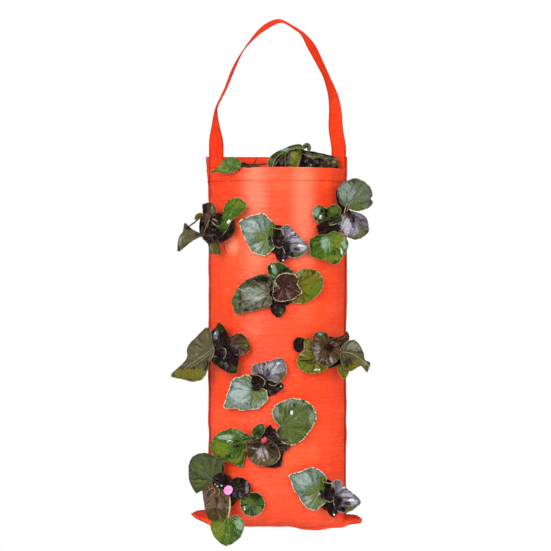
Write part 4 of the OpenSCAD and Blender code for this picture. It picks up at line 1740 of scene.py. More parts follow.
def blade_faces(turned: bool) -> tuple[list[Array], list[Array]]:
    """Faces of a closed blade of two packed layers.

    Args:
        turned: True where the outline runs the other way round.

    Returns:
        The faces of the upper side with the rim's wall, and those of the underside.
    """
    k = np.arange(BLADE_POINTS)
    fan, quads = fan_faces(BLADE_POINTS), grid_faces(BLADE_RINGS - 1, BLADE_POINTS, True) + 1
    layer = 1 + (BLADE_RINGS - 1) * BLADE_POINTS
    here, after = layer - BLADE_POINTS + k, layer - BLADE_POINTS + (k + 1) % BLADE_POINTS
    wall = np.stack([here + layer, after + layer, after, here], -1)
    top, low = [fan, quads[:, ::-1], wall], [fan[:, ::-1] + layer, quads + layer]
    if turned:
        top, low = [f[:, ::-1] for f in top], [f[:, ::-1] for f in low]
    return top, low


@dataclass(frozen=True)
class Leaf:
    """One leaf, drawn by its outline as the camera sees it.

    Fields:
        tone: its colour.
        outline: points round its rim, as places across and down in the view, in one run.
        stem: where its stalk joins it and its veins start.
        out: stand-off from the drape curve, in mm.
        lean: how far it comes forward for each mm to the right and each mm up.
        cup: how far its rim stands forward of its middle, in mm.
        wave: depth of the waves of its rim, in mm.
        fold: direction in degrees and depth in mm of a fold through the stem.
        paint: patches as (mask, across, down, half width, half height, strength).
        hug: share of the drape curve that it follows.
        pale: True where its stalk is pale.
    """

    tone: Tone
    outline: tuple[float, ...]
    stem: Pair
    out: float = 9.0
    lean: Pair = (0.0, 0.0)
    cup: float = 4.0
    wave: float = 1.2
    fold: Pair = (0.0, 0.0)
    paint: tuple[tuple[Mask, float, float, float, float, float], ...] = ()
    hug: float = 1.0
    pale: bool = False

    def rings(self, seed: int) -> tuple[Array, Array, Array]:
        """The outline, scalloped and shrunk ring by ring towards its middle.

        Args:
            seed: picks the scallops.

        Returns:
            The middle, each point's share of the way out, and the points as places in the view.
        """
        rim = closed_spline(np.array(self.outline, float).reshape(-1, 2), BLADE_POINTS)
        angle = 2.0 * np.pi * np.arange(BLADE_POINTS) / BLADE_POINTS
        u, v = np.cos(angle), np.sin(angle)
        middle = rim.mean(axis=0)
        scallop = soft_field(u * 5.0 + 9.0, v * 5.0 + 9.0, seed)
        scallop += 0.6 * soft_field(u * 12.0 + 30.0, v * 12.0 + 30.0, seed)
        rim = middle + (rim - middle) * (1.0 + BLADE_SCALLOP * scallop[:, None])
        size = np.concatenate([np.linspace(0.0, 0.9, BLADE_RINGS - 3) ** 0.9, [0.95, 0.98, 1.0]])
        share = size[:, None] * np.ones(BLADE_POINTS)
        return middle, share, middle + (rim - middle)[None] * share[..., None]

    def relief(
        self, flat: Array, middle: Array, share: Array, rel: Array, bearing: Array, seed: int
    ) -> Array:
        """Stand-off from the drape curve, in mm.

        It is the stand-off, the lean, a cup that grows with the ring's size squared, rim waves
        that grow with its cube, the rise of the skin between veins, the fold and small dents.

        Args:
            flat: points as places in the view.
            middle: the outline's middle.
            share: each point's share of the way out.
            rel: offset of each point from the stem, in mm.
            bearing: angle of each point from the main vein.
            seed: picks the waves.

        Returns:
            One number per point.
        """
        rng = np.random.default_rng(seed)
        phase, turns = rng.uniform(0.0, 2.0 * np.pi, 3), rng.integers(5, 8)
        angle = 2.0 * np.pi * np.arange(BLADE_POINTS) / BLADE_POINTS
        waves = np.sin(turns * angle + phase[0]) + 0.5 * np.sin((2 * turns + 1) * angle + phase[1])
        waves = waves + 0.4 * np.sin(23 * angle + phase[2])
        quilt = BLADE_QUILT * np.abs(np.sin(4.0 * bearing)) ** 0.7
        quilt = quilt * ramp(1.0, 9.0, np.linalg.norm(rel, axis=-1)) * (1.0 - 0.6 * share**4)
        crease = math.radians(self.fold[0])
        aside = np.abs(rel[..., 0] * math.sin(crease) - rel[..., 1] * math.cos(crease))
        half = 0.5 * VIEW_SCALE * float(np.ptp(flat[-1], axis=0).mean())
        bend = self.fold[1] * np.sqrt((aside / half) ** 2 + 0.01)
        drop = (flat - middle) * VIEW_SCALE
        out = self.out + self.lean[0] * drop[..., 0] - self.lean[1] * drop[..., 1]
        out = out + self.cup * (share**2 - 0.35) + self.wave * share**3 * waves[None] + quilt + bend
        return out + 0.5 * soft_field(flat[..., 0] / 4.0, flat[..., 1] / 4.0, seed + 1)

    def painted(self, flat: Array, share: Array, bearing: Array, reach: Array, seed: int) -> Array:
        """Painted values of the blade: the ring's size, and patches with ragged edges, among them painted
        shade, painted reflection and painted glints.

        Args:
            flat: points as places in the view.
            share: each point's share of the way out.
            bearing: angle of each point from the main vein.
            reach: distance of each point from the stem, in mm.
            seed: picks the ragged edges.

        Returns:
            One value for each Mask at each point.
        """
        masks = np.zeros((*share.shape, len(Mask)))
        masks[..., Mask.RIM.row] = share
        for mask, px, py, wide, high, strength in self.paint:
            off = np.hypot((flat[..., 0] - px) / wide, (flat[..., 1] - py) / high)
            off = off + 0.25 * soft_field(bearing * 4.0 + 20.0, reach / 16.0, seed + 7)
            layer = masks[..., mask.row]
            layer[:] = np.maximum(layer, strength * (1.0 - ramp(0.35, 1.45, off)))
        return masks

    def build(self, parts: MeshParts, slots: list[Enum], seed: int, heart: Array) -> Array:
        """Adds the blade and its stalk.

        Args:
            parts: the mesh being gathered.
            slots: the plant's finishes, in the order of its material slots.
            seed: picks the waves.
            heart: point of the crown where the stalk starts.

        Returns:
            The blade's points as rows of view place and depth.
        """
        middle, share, flat = self.rings(seed)
        stem = np.array(self.stem, float)
        rel = (flat - stem) * np.array([1.0, -1.0]) * VIEW_SCALE
        reach = np.linalg.norm(rel, axis=-1)
        bearing = np.arctan2(rel[..., 1], rel[..., 0]) - math.atan2(stem[1] - middle[1], middle[0] - stem[0])
        depth = self.hug * drape_depth((flat[..., 0] - VIEW_MID) * VIEW_SCALE)
        depth = depth + self.relief(flat, middle, share, rel, bearing, seed)
        x, z = photo_place(flat[..., 0], flat[..., 1], depth)
        if self.hug == 1.0:
            clear = BLADE_CLEAR - PAST_RIM * ramp(FRONT_RIM - 2.0, FRONT_RIM + 10.0, z)
            depth = np.maximum(depth, face_depth(x) + clear)
        sheet = np.stack([x, -depth, z], -1)
        around = np.roll(sheet, -1, axis=1) - np.roll(sheet, 1, axis=1)
        normal = np.cross(np.gradient(sheet, axis=0), around)
        turned = float(normal[1:, :, 1].mean()) > 0
        normal = unit(normal + normal[1:].mean(axis=(0, 1)) * 0.15)
        normal[0] = unit(normal[1:3].mean(axis=(0, 1)))
        normal = normal * (-1.0 if normal[1:, :, 1].mean() > 0 else 1.0)
        half_wall = normal * BLADE_WALL * (1.0 - 0.4 * share[..., None]) / 2.0
        place = np.stack([reach * np.cos(bearing), reach * np.sin(bearing)], -1) / 10.0
        masks = self.painted(flat, share, bearing, reach, seed)
        top, low = blade_faces(turned)
        parts.add(
            np.vstack([pack_rings(sheet + half_wall), pack_rings(sheet - half_wall)]),
            [*top, *low],
            [slots.index(self.tone)] * len(top) + [slots.index(Other.UNDERSIDE)] * len(low),
            np.vstack([pack_rings(place)] * 2),
            np.vstack([pack_rings(masks)] * 2),
        )
        gap = np.linalg.norm(flat - stem, axis=-1)
        foot = sheet[np.unravel_index(int(np.argmin(gap)), gap.shape)] + np.array([0.0, 0.5, 0.0])
        stalk = Other.PALE_STALK if self.pale else Other.STALK
        parts.add(*self.stalk(heart, foot), slots.index(stalk))
        return np.column_stack([flat.reshape(-1, 2), depth.reshape(-1)])

    def stalk(self, heart: Array, foot: Array) -> tuple[Array, list[Array]]:
        """Points and faces of the stalk: a cubic curve from the crown's heart to behind the blade.

        Args:
            heart: point of the crown where it starts.
            foot: point of the blade where it ends.

        Returns:
            The points and the faces.
        """
        t = np.linspace(0.0, 1.0, 14)[:, None]
        away = foot - heart
        span = float(np.linalg.norm(away))
        one = heart + np.array([0.0, -0.35 * span, 0.0]) + away * 0.12
        two = foot + np.array([0.0, 0.22 * span, 0.0]) - away * np.array([0.28, 0.0, 0.28])
        if self.hug == 1.0:
            two[1] = min(two[1], -float(face_depth(two[:1])[0]) - 2.5)
        path = heart * (1 - t) ** 3 + 3 * one * t * (1 - t) ** 2 + 3 * two * t**2 * (1 - t) + foot * t**3
        return tube(path, 1.7 - 0.75 * t[:, 0])


@dataclass(frozen=True)
class Stem:
    """One bare stem that shows in front of the leaves.

    Fields:
        places: its knots as places across and down in the view, in one run.
        thick: its thickness in mm.
        pale: True where it is pale.
    """

    places: tuple[float, ...]
    thick: float
    pale: bool = False

    def build(self, parts: MeshParts, slots: list[Enum], blades: Array) -> None:
        """Adds the stem, laid on the leaves that the camera sees behind it.

        Its depth is that of the foremost blade point within a reach of each place, or of the
        nearest one, smoothed along the stem, plus a share of the stem's own radius.

        Args:
            parts: the mesh being gathered.
            slots: the plant's finishes, in the order of its material slots.
            blades: the leaves' points as rows of view place and depth.
        """
        radius = (0.36 if self.pale else 0.5) * self.thick * np.sin(np.linspace(0.25, 2.9, 20)) ** 0.7
        places = np.array(self.places, float).reshape(-1, 2)
        knots = spline(places, np.linspace(0.0, len(places) - 1.0, len(radius)))
        gap = np.linalg.norm(knots[:, None] - blades[None, :, :2], axis=-1)
        front = np.where(gap < STEM_REACH, blades[:, 2], -np.inf).max(axis=1)
        depth = np.where(np.isfinite(front), front, blades[gap.argmin(axis=1), 2])
        depth = np.pad(depth, 2, mode="edge")
        depth = np.maximum(np.convolve(depth, np.full(5, 0.2), "valid"), depth[2:-2]) + 0.7 * radius
        x, z = photo_place(knots[:, 0], knots[:, 1], depth)
        path = np.stack([x, -depth, z], -1)
        parts.add(*tube(path, radius), slots.index(Other.PALE_STALK if self.pale else Other.STALK))


@dataclass(frozen=True)
class Plant:
    """One plant in a planting hole: a lumpy crown, stalked leaves round it, and bare stems.

    Fields:
        number: number of its hole, from 1 up.
        leaves: its leaves.
        stems: its bare stems.
        in_hole: True where the crown has a neck that fills the hole.
        crown_out: how far the crown's middle stands out of the mix or the pouch, in mm.
        crown_radii: radii of the crown's ball in mm.
        rootlets: number of short roots on the crown.
        rootlet_radii: radii along each short root in mm.
    """

    number: int
    leaves: tuple[Leaf, ...]
    stems: tuple[Stem, ...]
    in_hole: ClassVar[bool] = True
    crown_out: ClassVar[float] = 4.0
    crown_radii: ClassVar[Array] = np.array([7.0, 6.0, 7.0])
    rootlets: ClassVar[int] = 7
    rootlet_radii: ClassVar[Array] = np.array([1.8, 2.0, 1.9, 1.6, 1.1, 0.4])

    @property
    def name(self) -> str:
        """Name of its solid."""
        return f"plant_{self.number}"

    @property
    def seed(self) -> int:
        """Picks its waves and its crown."""
        return self.number * 40

    def heart(self) -> Array:
        """Middle of the crown, just outside the hole.

        Returns:
            The point, in mm.
        """
        x, z = HOLES[self.number - 1]
        slope = HALF_D * LENS_POWER * x / HALF_W**2 * (1 - (x / HALF_W) ** 2) ** (LENS_POWER / 2 - 1)
        turn = math.atan(slope)
        y = -float(face_depth(np.array(x))) - self.crown_out * math.cos(turn)
        return np.array([x + self.crown_out * math.sin(turn), y, z])

    def crown(self, parts: MeshParts, slot: int) -> None:
        """Adds the crown: a lumpy ball with short roots, and a neck where it sits in a hole.

        Args:
            parts: the mesh being gathered.
            slot: number of the crown's material slot.
        """
        heart = self.heart()
        parts.add(*ball(heart, self.crown_radii, 12, 18, 0.35, self.seed), slot)
        if self.in_hole:
            neck = np.linspace(heart + np.array([0.0, 9.0, 0.0]), heart, 6)
            parts.add(*tube(neck, np.linspace(6.2, 5.4, 6), 14), slot)
        rng = np.random.default_rng(self.seed + 30)
        for _ in range(self.rootlets):
            way = unit(rng.normal(size=3) * np.array([1.0, 0.5, 1.0]) - np.array([0.0, 0.6, 0.0]))
            reach = np.linspace(3.0, rng.uniform(8.0, 12.0), len(self.rootlet_radii))
            parts.add(*tube(heart + way * reach[:, None], self.rootlet_radii, 7), slot)

    def build(self, palette: Palette) -> bpy.types.Object:
        """Makes the plant in place of its solid.

        Args:
            palette: hands out the materials.

        Returns:
            The plant's object.
        """
        parts = MeshParts()
        tones = list(dict.fromkeys(leaf.tone for leaf in self.leaves))
        slots = [*tones, Other.UNDERSIDE, Other.STALK, Other.PALE_STALK, Other.CROWN]
        heart = self.heart()
        blades = [leaf.build(parts, slots, self.seed + k, heart) for k, leaf in enumerate(self.leaves)]
        self.crown(parts, slots.index(Other.CROWN))
        for stem in self.stems:
            stem.build(parts, slots, np.vstack(blades))
        made = parts.make(self.name + "_foliage", [palette.get(f) for f in slots])
        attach(made, "bag")
        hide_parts(self.name)
        log.info("%s: %d leaves, %d faces", made.name, len(self.leaves), len(made.data.polygons))
        return made


@dataclass(frozen=True)
class TopPlant(Plant):
    """One plant in the mouth of the bag; its number only picks its waves.

    Fields:
        side: last word of its name.
        root: place of its crown across and forward, in mm.
    """

    side: str
    root: Pair
    in_hole: ClassVar[bool] = False
    crown_out: ClassVar[float] = 6.0

    @property
    def name(self) -> str:
        """Name of its solid."""
        return f"top_plant_{self.side}"

    @property
    def seed(self) -> int:
        """Picks its waves and its crown."""
        return 500 + 40 * self.number

    def heart(self) -> Array:
        """Middle of the crown, just above the mix."""
        return np.array([self.root[0], -self.root[1], MIX_TOP + self.crown_out])


# Short names for the tables of plants: S for silver with painted reflection, D for painted shade,
# G for a second colour and W for painted glints
S, D, G, W = Mask.SILVER_AND_SHEEN, Mask.DARK, Mask.SECOND, Mask.GLOSS
GREEN, OLIVE, GREY, SILVER_AND_SHEEN, SLATE = Tone.GREEN, Tone.OLIVE, Tone.GREY, Tone.SILVER_AND_SHEEN, Tone.SLATE
UMBER, COPPER, BRONZE, BURGUNDY = Tone.UMBER, Tone.COPPER, Tone.BRONZE, Tone.BURGUNDY
DARK, LILAC, FOREST, KHAKI = Tone.DARK, Tone.LILAC, Tone.FOREST, Tone.KHAKI
SAGE, MOSS = Tone.SAGE, Tone.MOSS

# Plants in the planting holes, by the number of the hole; the first leaf of each is a near-black
# sheet low in the crown, painted shade of it
PLANTS = (
    Plant(1, (
        Leaf(DARK, (204, 222, 211, 214, 221, 213, 228, 219, 229, 232, 221, 243, 209, 240, 202, 232),
            (214, 230), 5, cup=3, paint=((G, 216, 236, 8, 5, 0.6),)),
        Leaf(GREEN, (233, 198, 239, 198, 245.5, 202, 246.7, 206.6, 241.7, 212.8, 234, 219, 228, 225,
            223.2, 234, 219.4, 230.5, 217.8, 225.8, 220.2, 217.4, 223.2, 212, 224, 207.4, 227.8, 201.2),
            (219, 228), 11, (0.1, 0.1), fold=(48, 3), paint=((G, 238, 204, 8, 6, 0.8),
            (D, 219, 221, 2, 8, 0.7), (D, 222, 230, 4, 5, 0.5), (W, 229, 222, 2, 3, 0.9))),
        Leaf(BRONZE, (202.5, 204.3, 204.8, 203.5, 210, 202.4, 214.8, 205.8, 216.3, 210.5, 215.5, 215,
            211.7, 217, 209.4, 219, 204, 217, 202.5, 209.7), (210, 218), 11, fold=(85, 5),
            paint=((D, 205, 211, 3, 7, 0.8), (S, 212, 208, 2, 6, 0.5), (G, 213, 211, 3, 5, 0.7))),
        Leaf(BRONZE, (204.8, 213.5, 209.4, 218, 208, 226, 203.2, 236.6, 200, 235, 199.2, 226, 200.5, 218),
            (208, 219), 15, fold=(75, 6), paint=((D, 202, 226, 3, 10, 0.9),)),
        Leaf(OLIVE, (194.4, 219, 195.5, 215.5, 197.5, 213.5, 201, 212.8, 204.5, 215, 203, 218, 199.4, 218.5,
            197, 220), (203, 217), 10, cup=1, fold=(20, 3), paint=((D, 200, 218, 3, 1.5, 0.6),)),
        Leaf(KHAKI, (184.4, 222.8, 188.6, 225.8, 193.2, 229.7, 200.2, 233.5, 203, 236, 199, 237.6, 191, 242,
            185, 247, 179, 251.6, 177.4, 249, 178.6, 238, 183, 231), (201, 235.5), 8, (0.12, 0.0),
            fold=(215, 3), paint=((D, 190, 228, 5, 2, 0.7), (D, 198, 234, 4, 2, 0.6),
            (S, 180, 241, 2, 7, 0.7))),
        Leaf(BRONZE, (202.5, 237.4, 207.8, 244.3, 210.2, 252.8, 217, 254.3, 221, 252.8, 219.5, 245, 217, 238,
            210, 234), (212, 237), 9, paint=((G, 215, 248, 6, 6, 1.0), (D, 209, 240, 5, 4, 0.8))),
        Leaf(DARK, (231.7, 222.8, 234.8, 229.7, 231, 235, 227, 239.7, 220.2, 242.8, 218, 236, 225, 230),
            (222, 236), 9, fold=(40, 4), paint=((G, 228, 233, 3, 5, 0.4),)),
        Leaf(DARK, (205, 229, 211, 225, 219, 229, 221, 236, 215, 241, 207, 238), (219, 231), 13, wave=2.4,
            fold=(60, 4), paint=((G, 210, 235, 3, 3, 0.7), (S, 214, 229, 3, 1.5, 0.5))),
        Leaf(DARK, (211, 216, 217, 213, 222, 214, 221, 222, 214, 224, 210, 221), (217, 221), 14, cup=2),
    ), (
        Stem((222.5, 241, 224.5, 247, 226, 253.5), 1.6), Stem((200, 218, 193, 223.5, 185, 229), 2.6),
        Stem((211.5, 221.5, 214, 224, 218.5, 227), 2.0, True),
        Stem((212, 219, 214.5, 219.5, 217.5, 221.5), 1.7, True),
        Stem((210.5, 215, 207.5, 224, 202.5, 235), 0.8, True),
        Stem((222.5, 235, 226, 231, 231, 221), 0.9, True),
    )),
    Plant(2, (
        Leaf(DARK, (268, 226, 278, 226, 288, 236, 288, 250, 279, 256, 270, 250, 266, 238), (279, 241), 4,
            cup=2),
        Leaf(SILVER_AND_SHEEN, (239, 221, 248, 217, 257, 214, 262, 213, 268, 217, 273, 222, 275, 226, 272, 236,
            273, 242, 275, 247, 273, 250, 268, 254, 265, 256, 259, 255, 253, 252, 250, 249, 247, 243,
            243, 235, 240, 227), (268, 239), 8, (0.0, 0.12), cup=5, paint=((G, 265, 241, 12, 12, 1.0),
            (S, 253, 224, 12, 10, 0.6), (S, 258, 247, 6, 5, 0.5), (D, 271, 240, 3, 7, 0.9),
            (D, 248, 219, 8, 2, 0.35))),
        Leaf(GREEN, (270, 225, 272, 222, 275, 225, 274.5, 231, 272, 237, 269.5, 233), (272, 237), 16, cup=1,
            fold=(90, 2), paint=((D, 274, 230, 1.5, 6, 0.8), (G, 272, 226, 2, 3, 0.8))),
        Leaf(DARK, (273, 238, 274, 231, 278, 229, 282, 231, 284, 238, 281, 245, 276, 247, 273, 243),
            (277, 241), 17, cup=4, wave=1.8),
        Leaf(LILAC, (281, 228, 288, 225, 295, 232, 301, 238, 306, 244, 309, 249, 303, 255, 296, 258, 287, 256,
            284, 251, 282, 246, 283, 236), (283, 242), 10, (-0.1, 0.1), cup=5, fold=(-25, 4), wave=2.4,
            paint=((S, 295, 238, 9, 10, 0.6), (S, 303, 248, 4, 3, 0.9), (G, 300, 255, 6, 2.5, 1.0),
            (D, 286, 247, 6, 8, 0.8), (D, 290, 255, 7, 3, 0.8), (W, 300, 246, 4, 2, 0.6),
            (W, 296, 233, 4, 2, 0.45), (D, 296, 249, 5, 2, 0.6))),
        Leaf(DARK, (275, 249, 280, 246, 285, 249, 288, 256, 284, 262, 280, 262, 276, 257), (281, 248), 13,
            paint=((W, 283, 260.5, 1.0, 1.0, 1.0),)),
    ), (
        Stem((275, 246, 279, 248, 283, 246), 1.4, True),
        Stem((272, 227, 276, 228.5, 282, 230, 284, 236), 1.2, True),
    )),
    Plant(3, (
        Leaf(DARK, (335.8, 192, 340, 190, 346, 200, 349, 208, 347, 214, 341, 210, 337, 202), (346, 210), 3,
            cup=1),
        Leaf(GREY, (336.9, 192.5, 341, 183.8, 345, 181, 350, 179.4, 355, 178, 362.5, 180.6, 366, 183,
            370, 187, 372.5, 195, 370.6, 198.8, 373, 202.5, 370, 206.5, 367.5, 208.8, 360, 211, 352.5, 210,
            346, 207, 341, 204, 338.5, 198), (346, 207), 8, (0.0, 0.14), cup=3,
            paint=((G, 356, 207, 7, 5, 1.0), (S, 347, 191, 9, 12, 0.9), (D, 338, 200, 1.5, 7, 0.8),
            (D, 366, 192, 4, 3, 0.3))),
        Leaf(DARK, (317.5, 225, 327, 220, 338, 220, 341, 226, 338.8, 231, 325, 236, 318.8, 234, 317, 229),
            (334, 226), 8, cup=2),
        Leaf(LILAC, (338.8, 220, 343.8, 213.8, 350, 211, 358.8, 212.5, 366, 217.5, 369, 227.5, 367.5, 233.8,
            360, 238.8, 353.8, 239.4, 346, 236, 340, 230, 338, 223.8), (348, 213), 13, cup=-2, fold=(-52, -4),
            pale=True, paint=((S, 345, 225, 7, 9, 1.0), (S, 355, 231, 7, 4, 0.5), (G, 363, 231, 6, 8, 0.7),
            (G, 352, 238, 12, 2, 0.8), (D, 353, 219, 2, 5, 0.8))),
        Leaf(BRONZE, (345, 208.5, 350, 210, 352, 214, 351, 218, 347, 216, 344.5, 212), (350, 217), 17, cup=2,
            fold=(60, 3), paint=((D, 349, 213, 2, 3, 0.8),)),
        Leaf(FOREST, (312.5, 208.8, 317.5, 205.6, 322, 206, 326, 208.5, 330, 206, 336, 204.4, 341, 208.8,
            340.6, 213.8, 342.5, 220, 337.5, 223.8, 325, 225.6, 317.5, 222.5, 313, 216), (341, 218), 13,
            (0.0, 0.1), fold=(95, -5), paint=((S, 316, 211, 5, 7, 0.9), (D, 326, 213, 2.5, 6, 0.9),
            (G, 334, 210, 5, 5, 0.6), (D, 335, 219, 7, 5, 0.65), (W, 320.5, 216.5, 2.4, 3.4, 0.75),
            (D, 322, 211, 3, 2, 0.6))),
        Leaf(GREEN, (309.4, 247.5, 310, 240, 316, 235.6, 325, 234.4, 330, 232.5, 335, 231, 341, 233.8,
            347.5, 240, 348, 247.5, 342.5, 257.5, 337.5, 263.8, 331, 263, 322.5, 259.4, 312.5, 257.5,
            310, 252.5), (331, 235), 9, (0.0, 0.1), cup=5, fold=(-80, 3), paint=((S, 326, 243, 6, 8, 1.0),
            (G, 338, 241, 9, 9, 1.0), (G, 333, 259, 9, 4, 0.9), (D, 311, 249, 3, 9, 0.5),
            (W, 341.5, 251, 1.6, 5.5, 0.65), (S, 344, 244, 3, 8, 0.9), (D, 318, 236, 7, 2, 0.5))),
    ), (
        Stem((347, 203, 345.5, 208, 344, 213), 1.8, True), Stem((350, 203, 348.5, 207, 347, 211), 1.4, True),
        Stem((347, 212, 351, 217, 356, 224), 1.6),
    )),
    Plant(4, (
        Leaf(DARK, (268, 280, 276, 276, 292, 278, 298, 292, 290, 304, 276, 304, 268, 296), (282, 290), 3,
            cup=2),
        Leaf(OLIVE, (293, 277, 299.8, 270.4, 307.5, 268.8, 316.8, 270.4, 321.4, 275, 323.7, 282.7, 320.6, 292,
            312.9, 298.8, 304.5, 303.5, 293.7, 303, 290, 296), (292, 289), 8, (-0.05, 0.1), cup=3,
            paint=((G, 315, 292, 8, 8, 1.0), (S, 300, 273, 5, 4, 0.7), (S, 321, 279, 2, 6, 0.5),
            (D, 298, 294, 4, 5, 0.5))),
        Leaf(MOSS, (231.8, 304, 232.5, 298, 237.5, 287.3, 245.2, 280.4, 256.8, 275.8, 266.8, 274.2,
            271.4, 278.8, 272.9, 282.7, 271.4, 289.6, 269.5, 294.2, 272.2, 298, 271.4, 304.2, 266.8, 307.3,
            256.8, 310.4, 246, 312.3, 239, 314.2, 234.5, 311.9), (272, 291), 9, (0.06, 0.12), cup=4,
            fold=(172, 4), paint=((S, 253, 294, 14, 9, 0.65), (G, 235, 301, 4, 13, 1.2),
            (G, 256, 277, 15, 3, 0.7), (S, 262, 287, 9, 4, 0.5), (D, 240, 300, 1.8, 11, 0.6),
            (D, 262, 279, 11, 4, 0.8), (D, 255, 310, 20, 2.2, 0.8), (D, 272, 288, 3, 8, 0.8))),
        Leaf(FOREST, (267.5, 268, 269, 264.5, 272.2, 262.7, 279.8, 262.3, 287.5, 266.5, 293.7, 272.7,
            287, 276, 279.8, 280.4, 273.7, 282, 268.5, 274), (280, 279), 11, fold=(115, 5),
            paint=((D, 284, 272, 6, 4, 0.7), (D, 269, 270, 1.6, 6, 0.8), (S, 274, 270.5, 3, 7, 1.0),
            (W, 271.5, 266, 0.8, 2.0, 0.9))),
        Leaf(DARK, (270, 305, 276, 301, 284, 302, 286, 306, 284.5, 312.7, 279.8, 317.3, 275.2, 316.5,
            271.4, 312), (278, 302), 9, paint=((G, 279, 311, 5, 5, 0.7),)),
        Leaf(BURGUNDY, (273, 292, 273.5, 284, 277, 277, 281.4, 273.5, 287.5, 272.7, 295.2, 275, 298.3, 281,
            297.5, 284.2, 302.2, 292.7, 297.5, 295.8, 292.2, 299.6, 281.4, 301.5, 275.2, 300.4, 272.5, 295),
            (283.5, 286), 18, (0.0, 0.08), cup=7, wave=2.4, paint=((S, 275.5, 285, 1.6, 4, 1.1),
            (S, 290, 292, 6, 3, 0.35), (D, 274, 295, 3, 3, 0.5))),
    ), (
        Stem((238, 288, 242, 290.5, 246.5, 291.5), 2.0, True),
        Stem((274, 280.5, 277, 285, 279.5, 289), 1.5, True),
    )),
    Plant(5, (
        Leaf(DARK, (207, 338, 214, 330, 226, 334, 232, 346, 232, 360, 222, 368, 212, 362, 207, 350),
            (219, 349), 3, cup=2),
        Leaf(KHAKI, (207.8, 326.7, 201, 332, 195, 338, 190, 343, 187, 349, 187, 356.7, 184, 362, 179, 367,
            170.4, 376, 182, 379, 195.3, 381.7, 203.7, 378.3, 207.8, 370, 209.5, 361.7, 214, 352,
            212.8, 343.3, 210.3, 330), (213, 350), 9, (0.15, 0.1), fold=(205, 5),
            paint=((G, 195, 374.5, 20, 7, 1.3), (D, 206, 366, 4, 8, 0.5), (S, 199, 345, 7, 11, 0.3),
            (D, 191, 368, 12, 2.0, 0.5))),
        Leaf(DARK, (212, 332, 216, 327, 218.7, 322.8, 223, 326, 227, 331.7, 229, 338, 226, 346, 219, 349,
            213, 343), (219, 348), 12, fold=(95, 4), wave=1.8, paint=((G, 220, 327, 5, 4, 1.0),
            (S, 215, 336, 3.5, 5, 1.0), (W, 214.5, 334, 1.5, 2.5, 0.7))),
        Leaf(BRONZE, (229.5, 338.3, 238.7, 333.3, 245.3, 336.7, 250.3, 345.8, 248.7, 351.7, 240.3, 355.8,
            230.3, 352), (229, 346), 9, fold=(5, 4), paint=((D, 235, 350, 8, 4, 0.8),
            (G, 243, 343, 5, 6, 0.5))),
        Leaf(DARK, (212.8, 360, 214.5, 350, 225.3, 348.3, 234, 350, 239, 355, 238, 366, 236.2, 372.5,
            228.7, 373.3, 221, 369, 216, 365), (222, 350), 14, (0.0, 0.0), cup=6, wave=2.6,
            paint=((D, 221, 359, 8, 7, 0.7), (G, 233, 369, 4, 4, 0.8), (G, 217, 363, 3, 3, 0.5))),
        Leaf(DARK, (220, 350, 223, 343, 229, 343, 232, 351, 229, 358, 223, 358), (224, 350), 19, cup=3,
            wave=1.8),
    ), (
        Stem((213.5, 348, 200, 358, 184, 369), 1.4, True), Stem((213, 351, 201, 361, 190, 368), 1.0, True),
        Stem((213, 346, 214, 352, 211, 360), 1.2, True),
        Stem((221, 348, 225, 349, 226, 354, 223, 359), 1.3, True),
    )),
    Plant(6, (
        Leaf(DARK, (312, 340, 322, 336, 336, 338, 346, 348, 344, 362, 330, 368, 316, 362), (333, 353), 3,
            cup=2),
        Leaf(DARK, (293.3, 342, 296.5, 338, 301, 337.5, 305.3, 340, 303.7, 348.3, 298.7, 352.5, 294, 349),
            (303, 348), 8, cup=2, paint=((G, 299, 343, 3, 3, 0.4),)),
        Leaf(OLIVE, (304, 341, 307, 338, 310, 339, 311.5, 347, 312, 355, 307, 353, 304.5, 348), (310, 354),
            10, cup=1, fold=(80, 3), paint=((S, 307, 346, 1.5, 6, 0.6), (D, 311, 350, 1.5, 4, 0.5))),
        Leaf(OLIVE, (297, 364, 297.5, 358.5, 301, 353, 305.3, 350.5, 312, 352, 317, 357, 321, 364, 328, 367,
            323, 371.7, 312, 374, 302, 371), (317, 358), 9, wave=2.2, fold=(210, 3),
            paint=((G, 304, 366, 6, 6, 0.8), (S, 303, 355, 4, 3, 0.6), (W, 318, 370, 6, 1.0, 0.6),
            (D, 312, 362, 5, 4, 0.6), (D, 304, 361, 6, 1, 0.6))),
        Leaf(KHAKI, (340.3, 350, 345.3, 343.3, 352, 340, 358.7, 343.3, 363.7, 353.3, 365.3, 360, 370.3, 363.3,
            367, 372.5, 364, 366, 358.7, 367, 352, 371, 345.3, 370, 341, 362), (342, 352), 9, (-0.1, 0.1),
            fold=(-28, 6), paint=((S, 354, 347, 9, 5, 0.9), (D, 348, 362, 6, 6, 0.55),
            (G, 356, 366, 12, 5, 1.0), (S, 365, 364, 3, 3, 0.8))),
        Leaf(BRONZE, (331, 339, 338, 337, 343.7, 335, 347, 331.5, 349.5, 338.3, 345, 343, 338, 345),
            (338, 342), 8, cup=1, paint=((D, 338, 341, 6, 2, 0.6),)),
        Leaf(OLIVE, (338, 366, 343, 365, 349, 369, 347, 377, 343, 379, 339, 373), (342, 366), 8, cup=2,
            paint=((S, 341, 369, 2, 3, 0.6),)),
        Leaf(BRONZE, (312, 343.3, 313.7, 335, 318.7, 331.7, 323, 331.7, 327, 333.3, 330.3, 340, 335, 342,
            338.7, 345, 341.2, 351.7, 338.7, 360, 333, 364, 328.7, 366.7, 320.3, 365, 315.3, 356.7),
            (328, 346), 18, cup=5, wave=2.2, paint=((S, 317, 349, 4, 10, 0.55), (S, 328, 361, 8, 4, 0.5),
            (G, 320, 337, 5, 4, 0.7), (D, 329, 348, 6, 5, 0.9), (S, 319, 334, 3, 2, 0.8))),
    ), (
        Stem((342, 352, 352, 354, 367, 364, 369, 370), 1.5, True),
        Stem((304, 341, 304, 350, 300, 356), 1.0, True),
    )),
    Plant(7, (
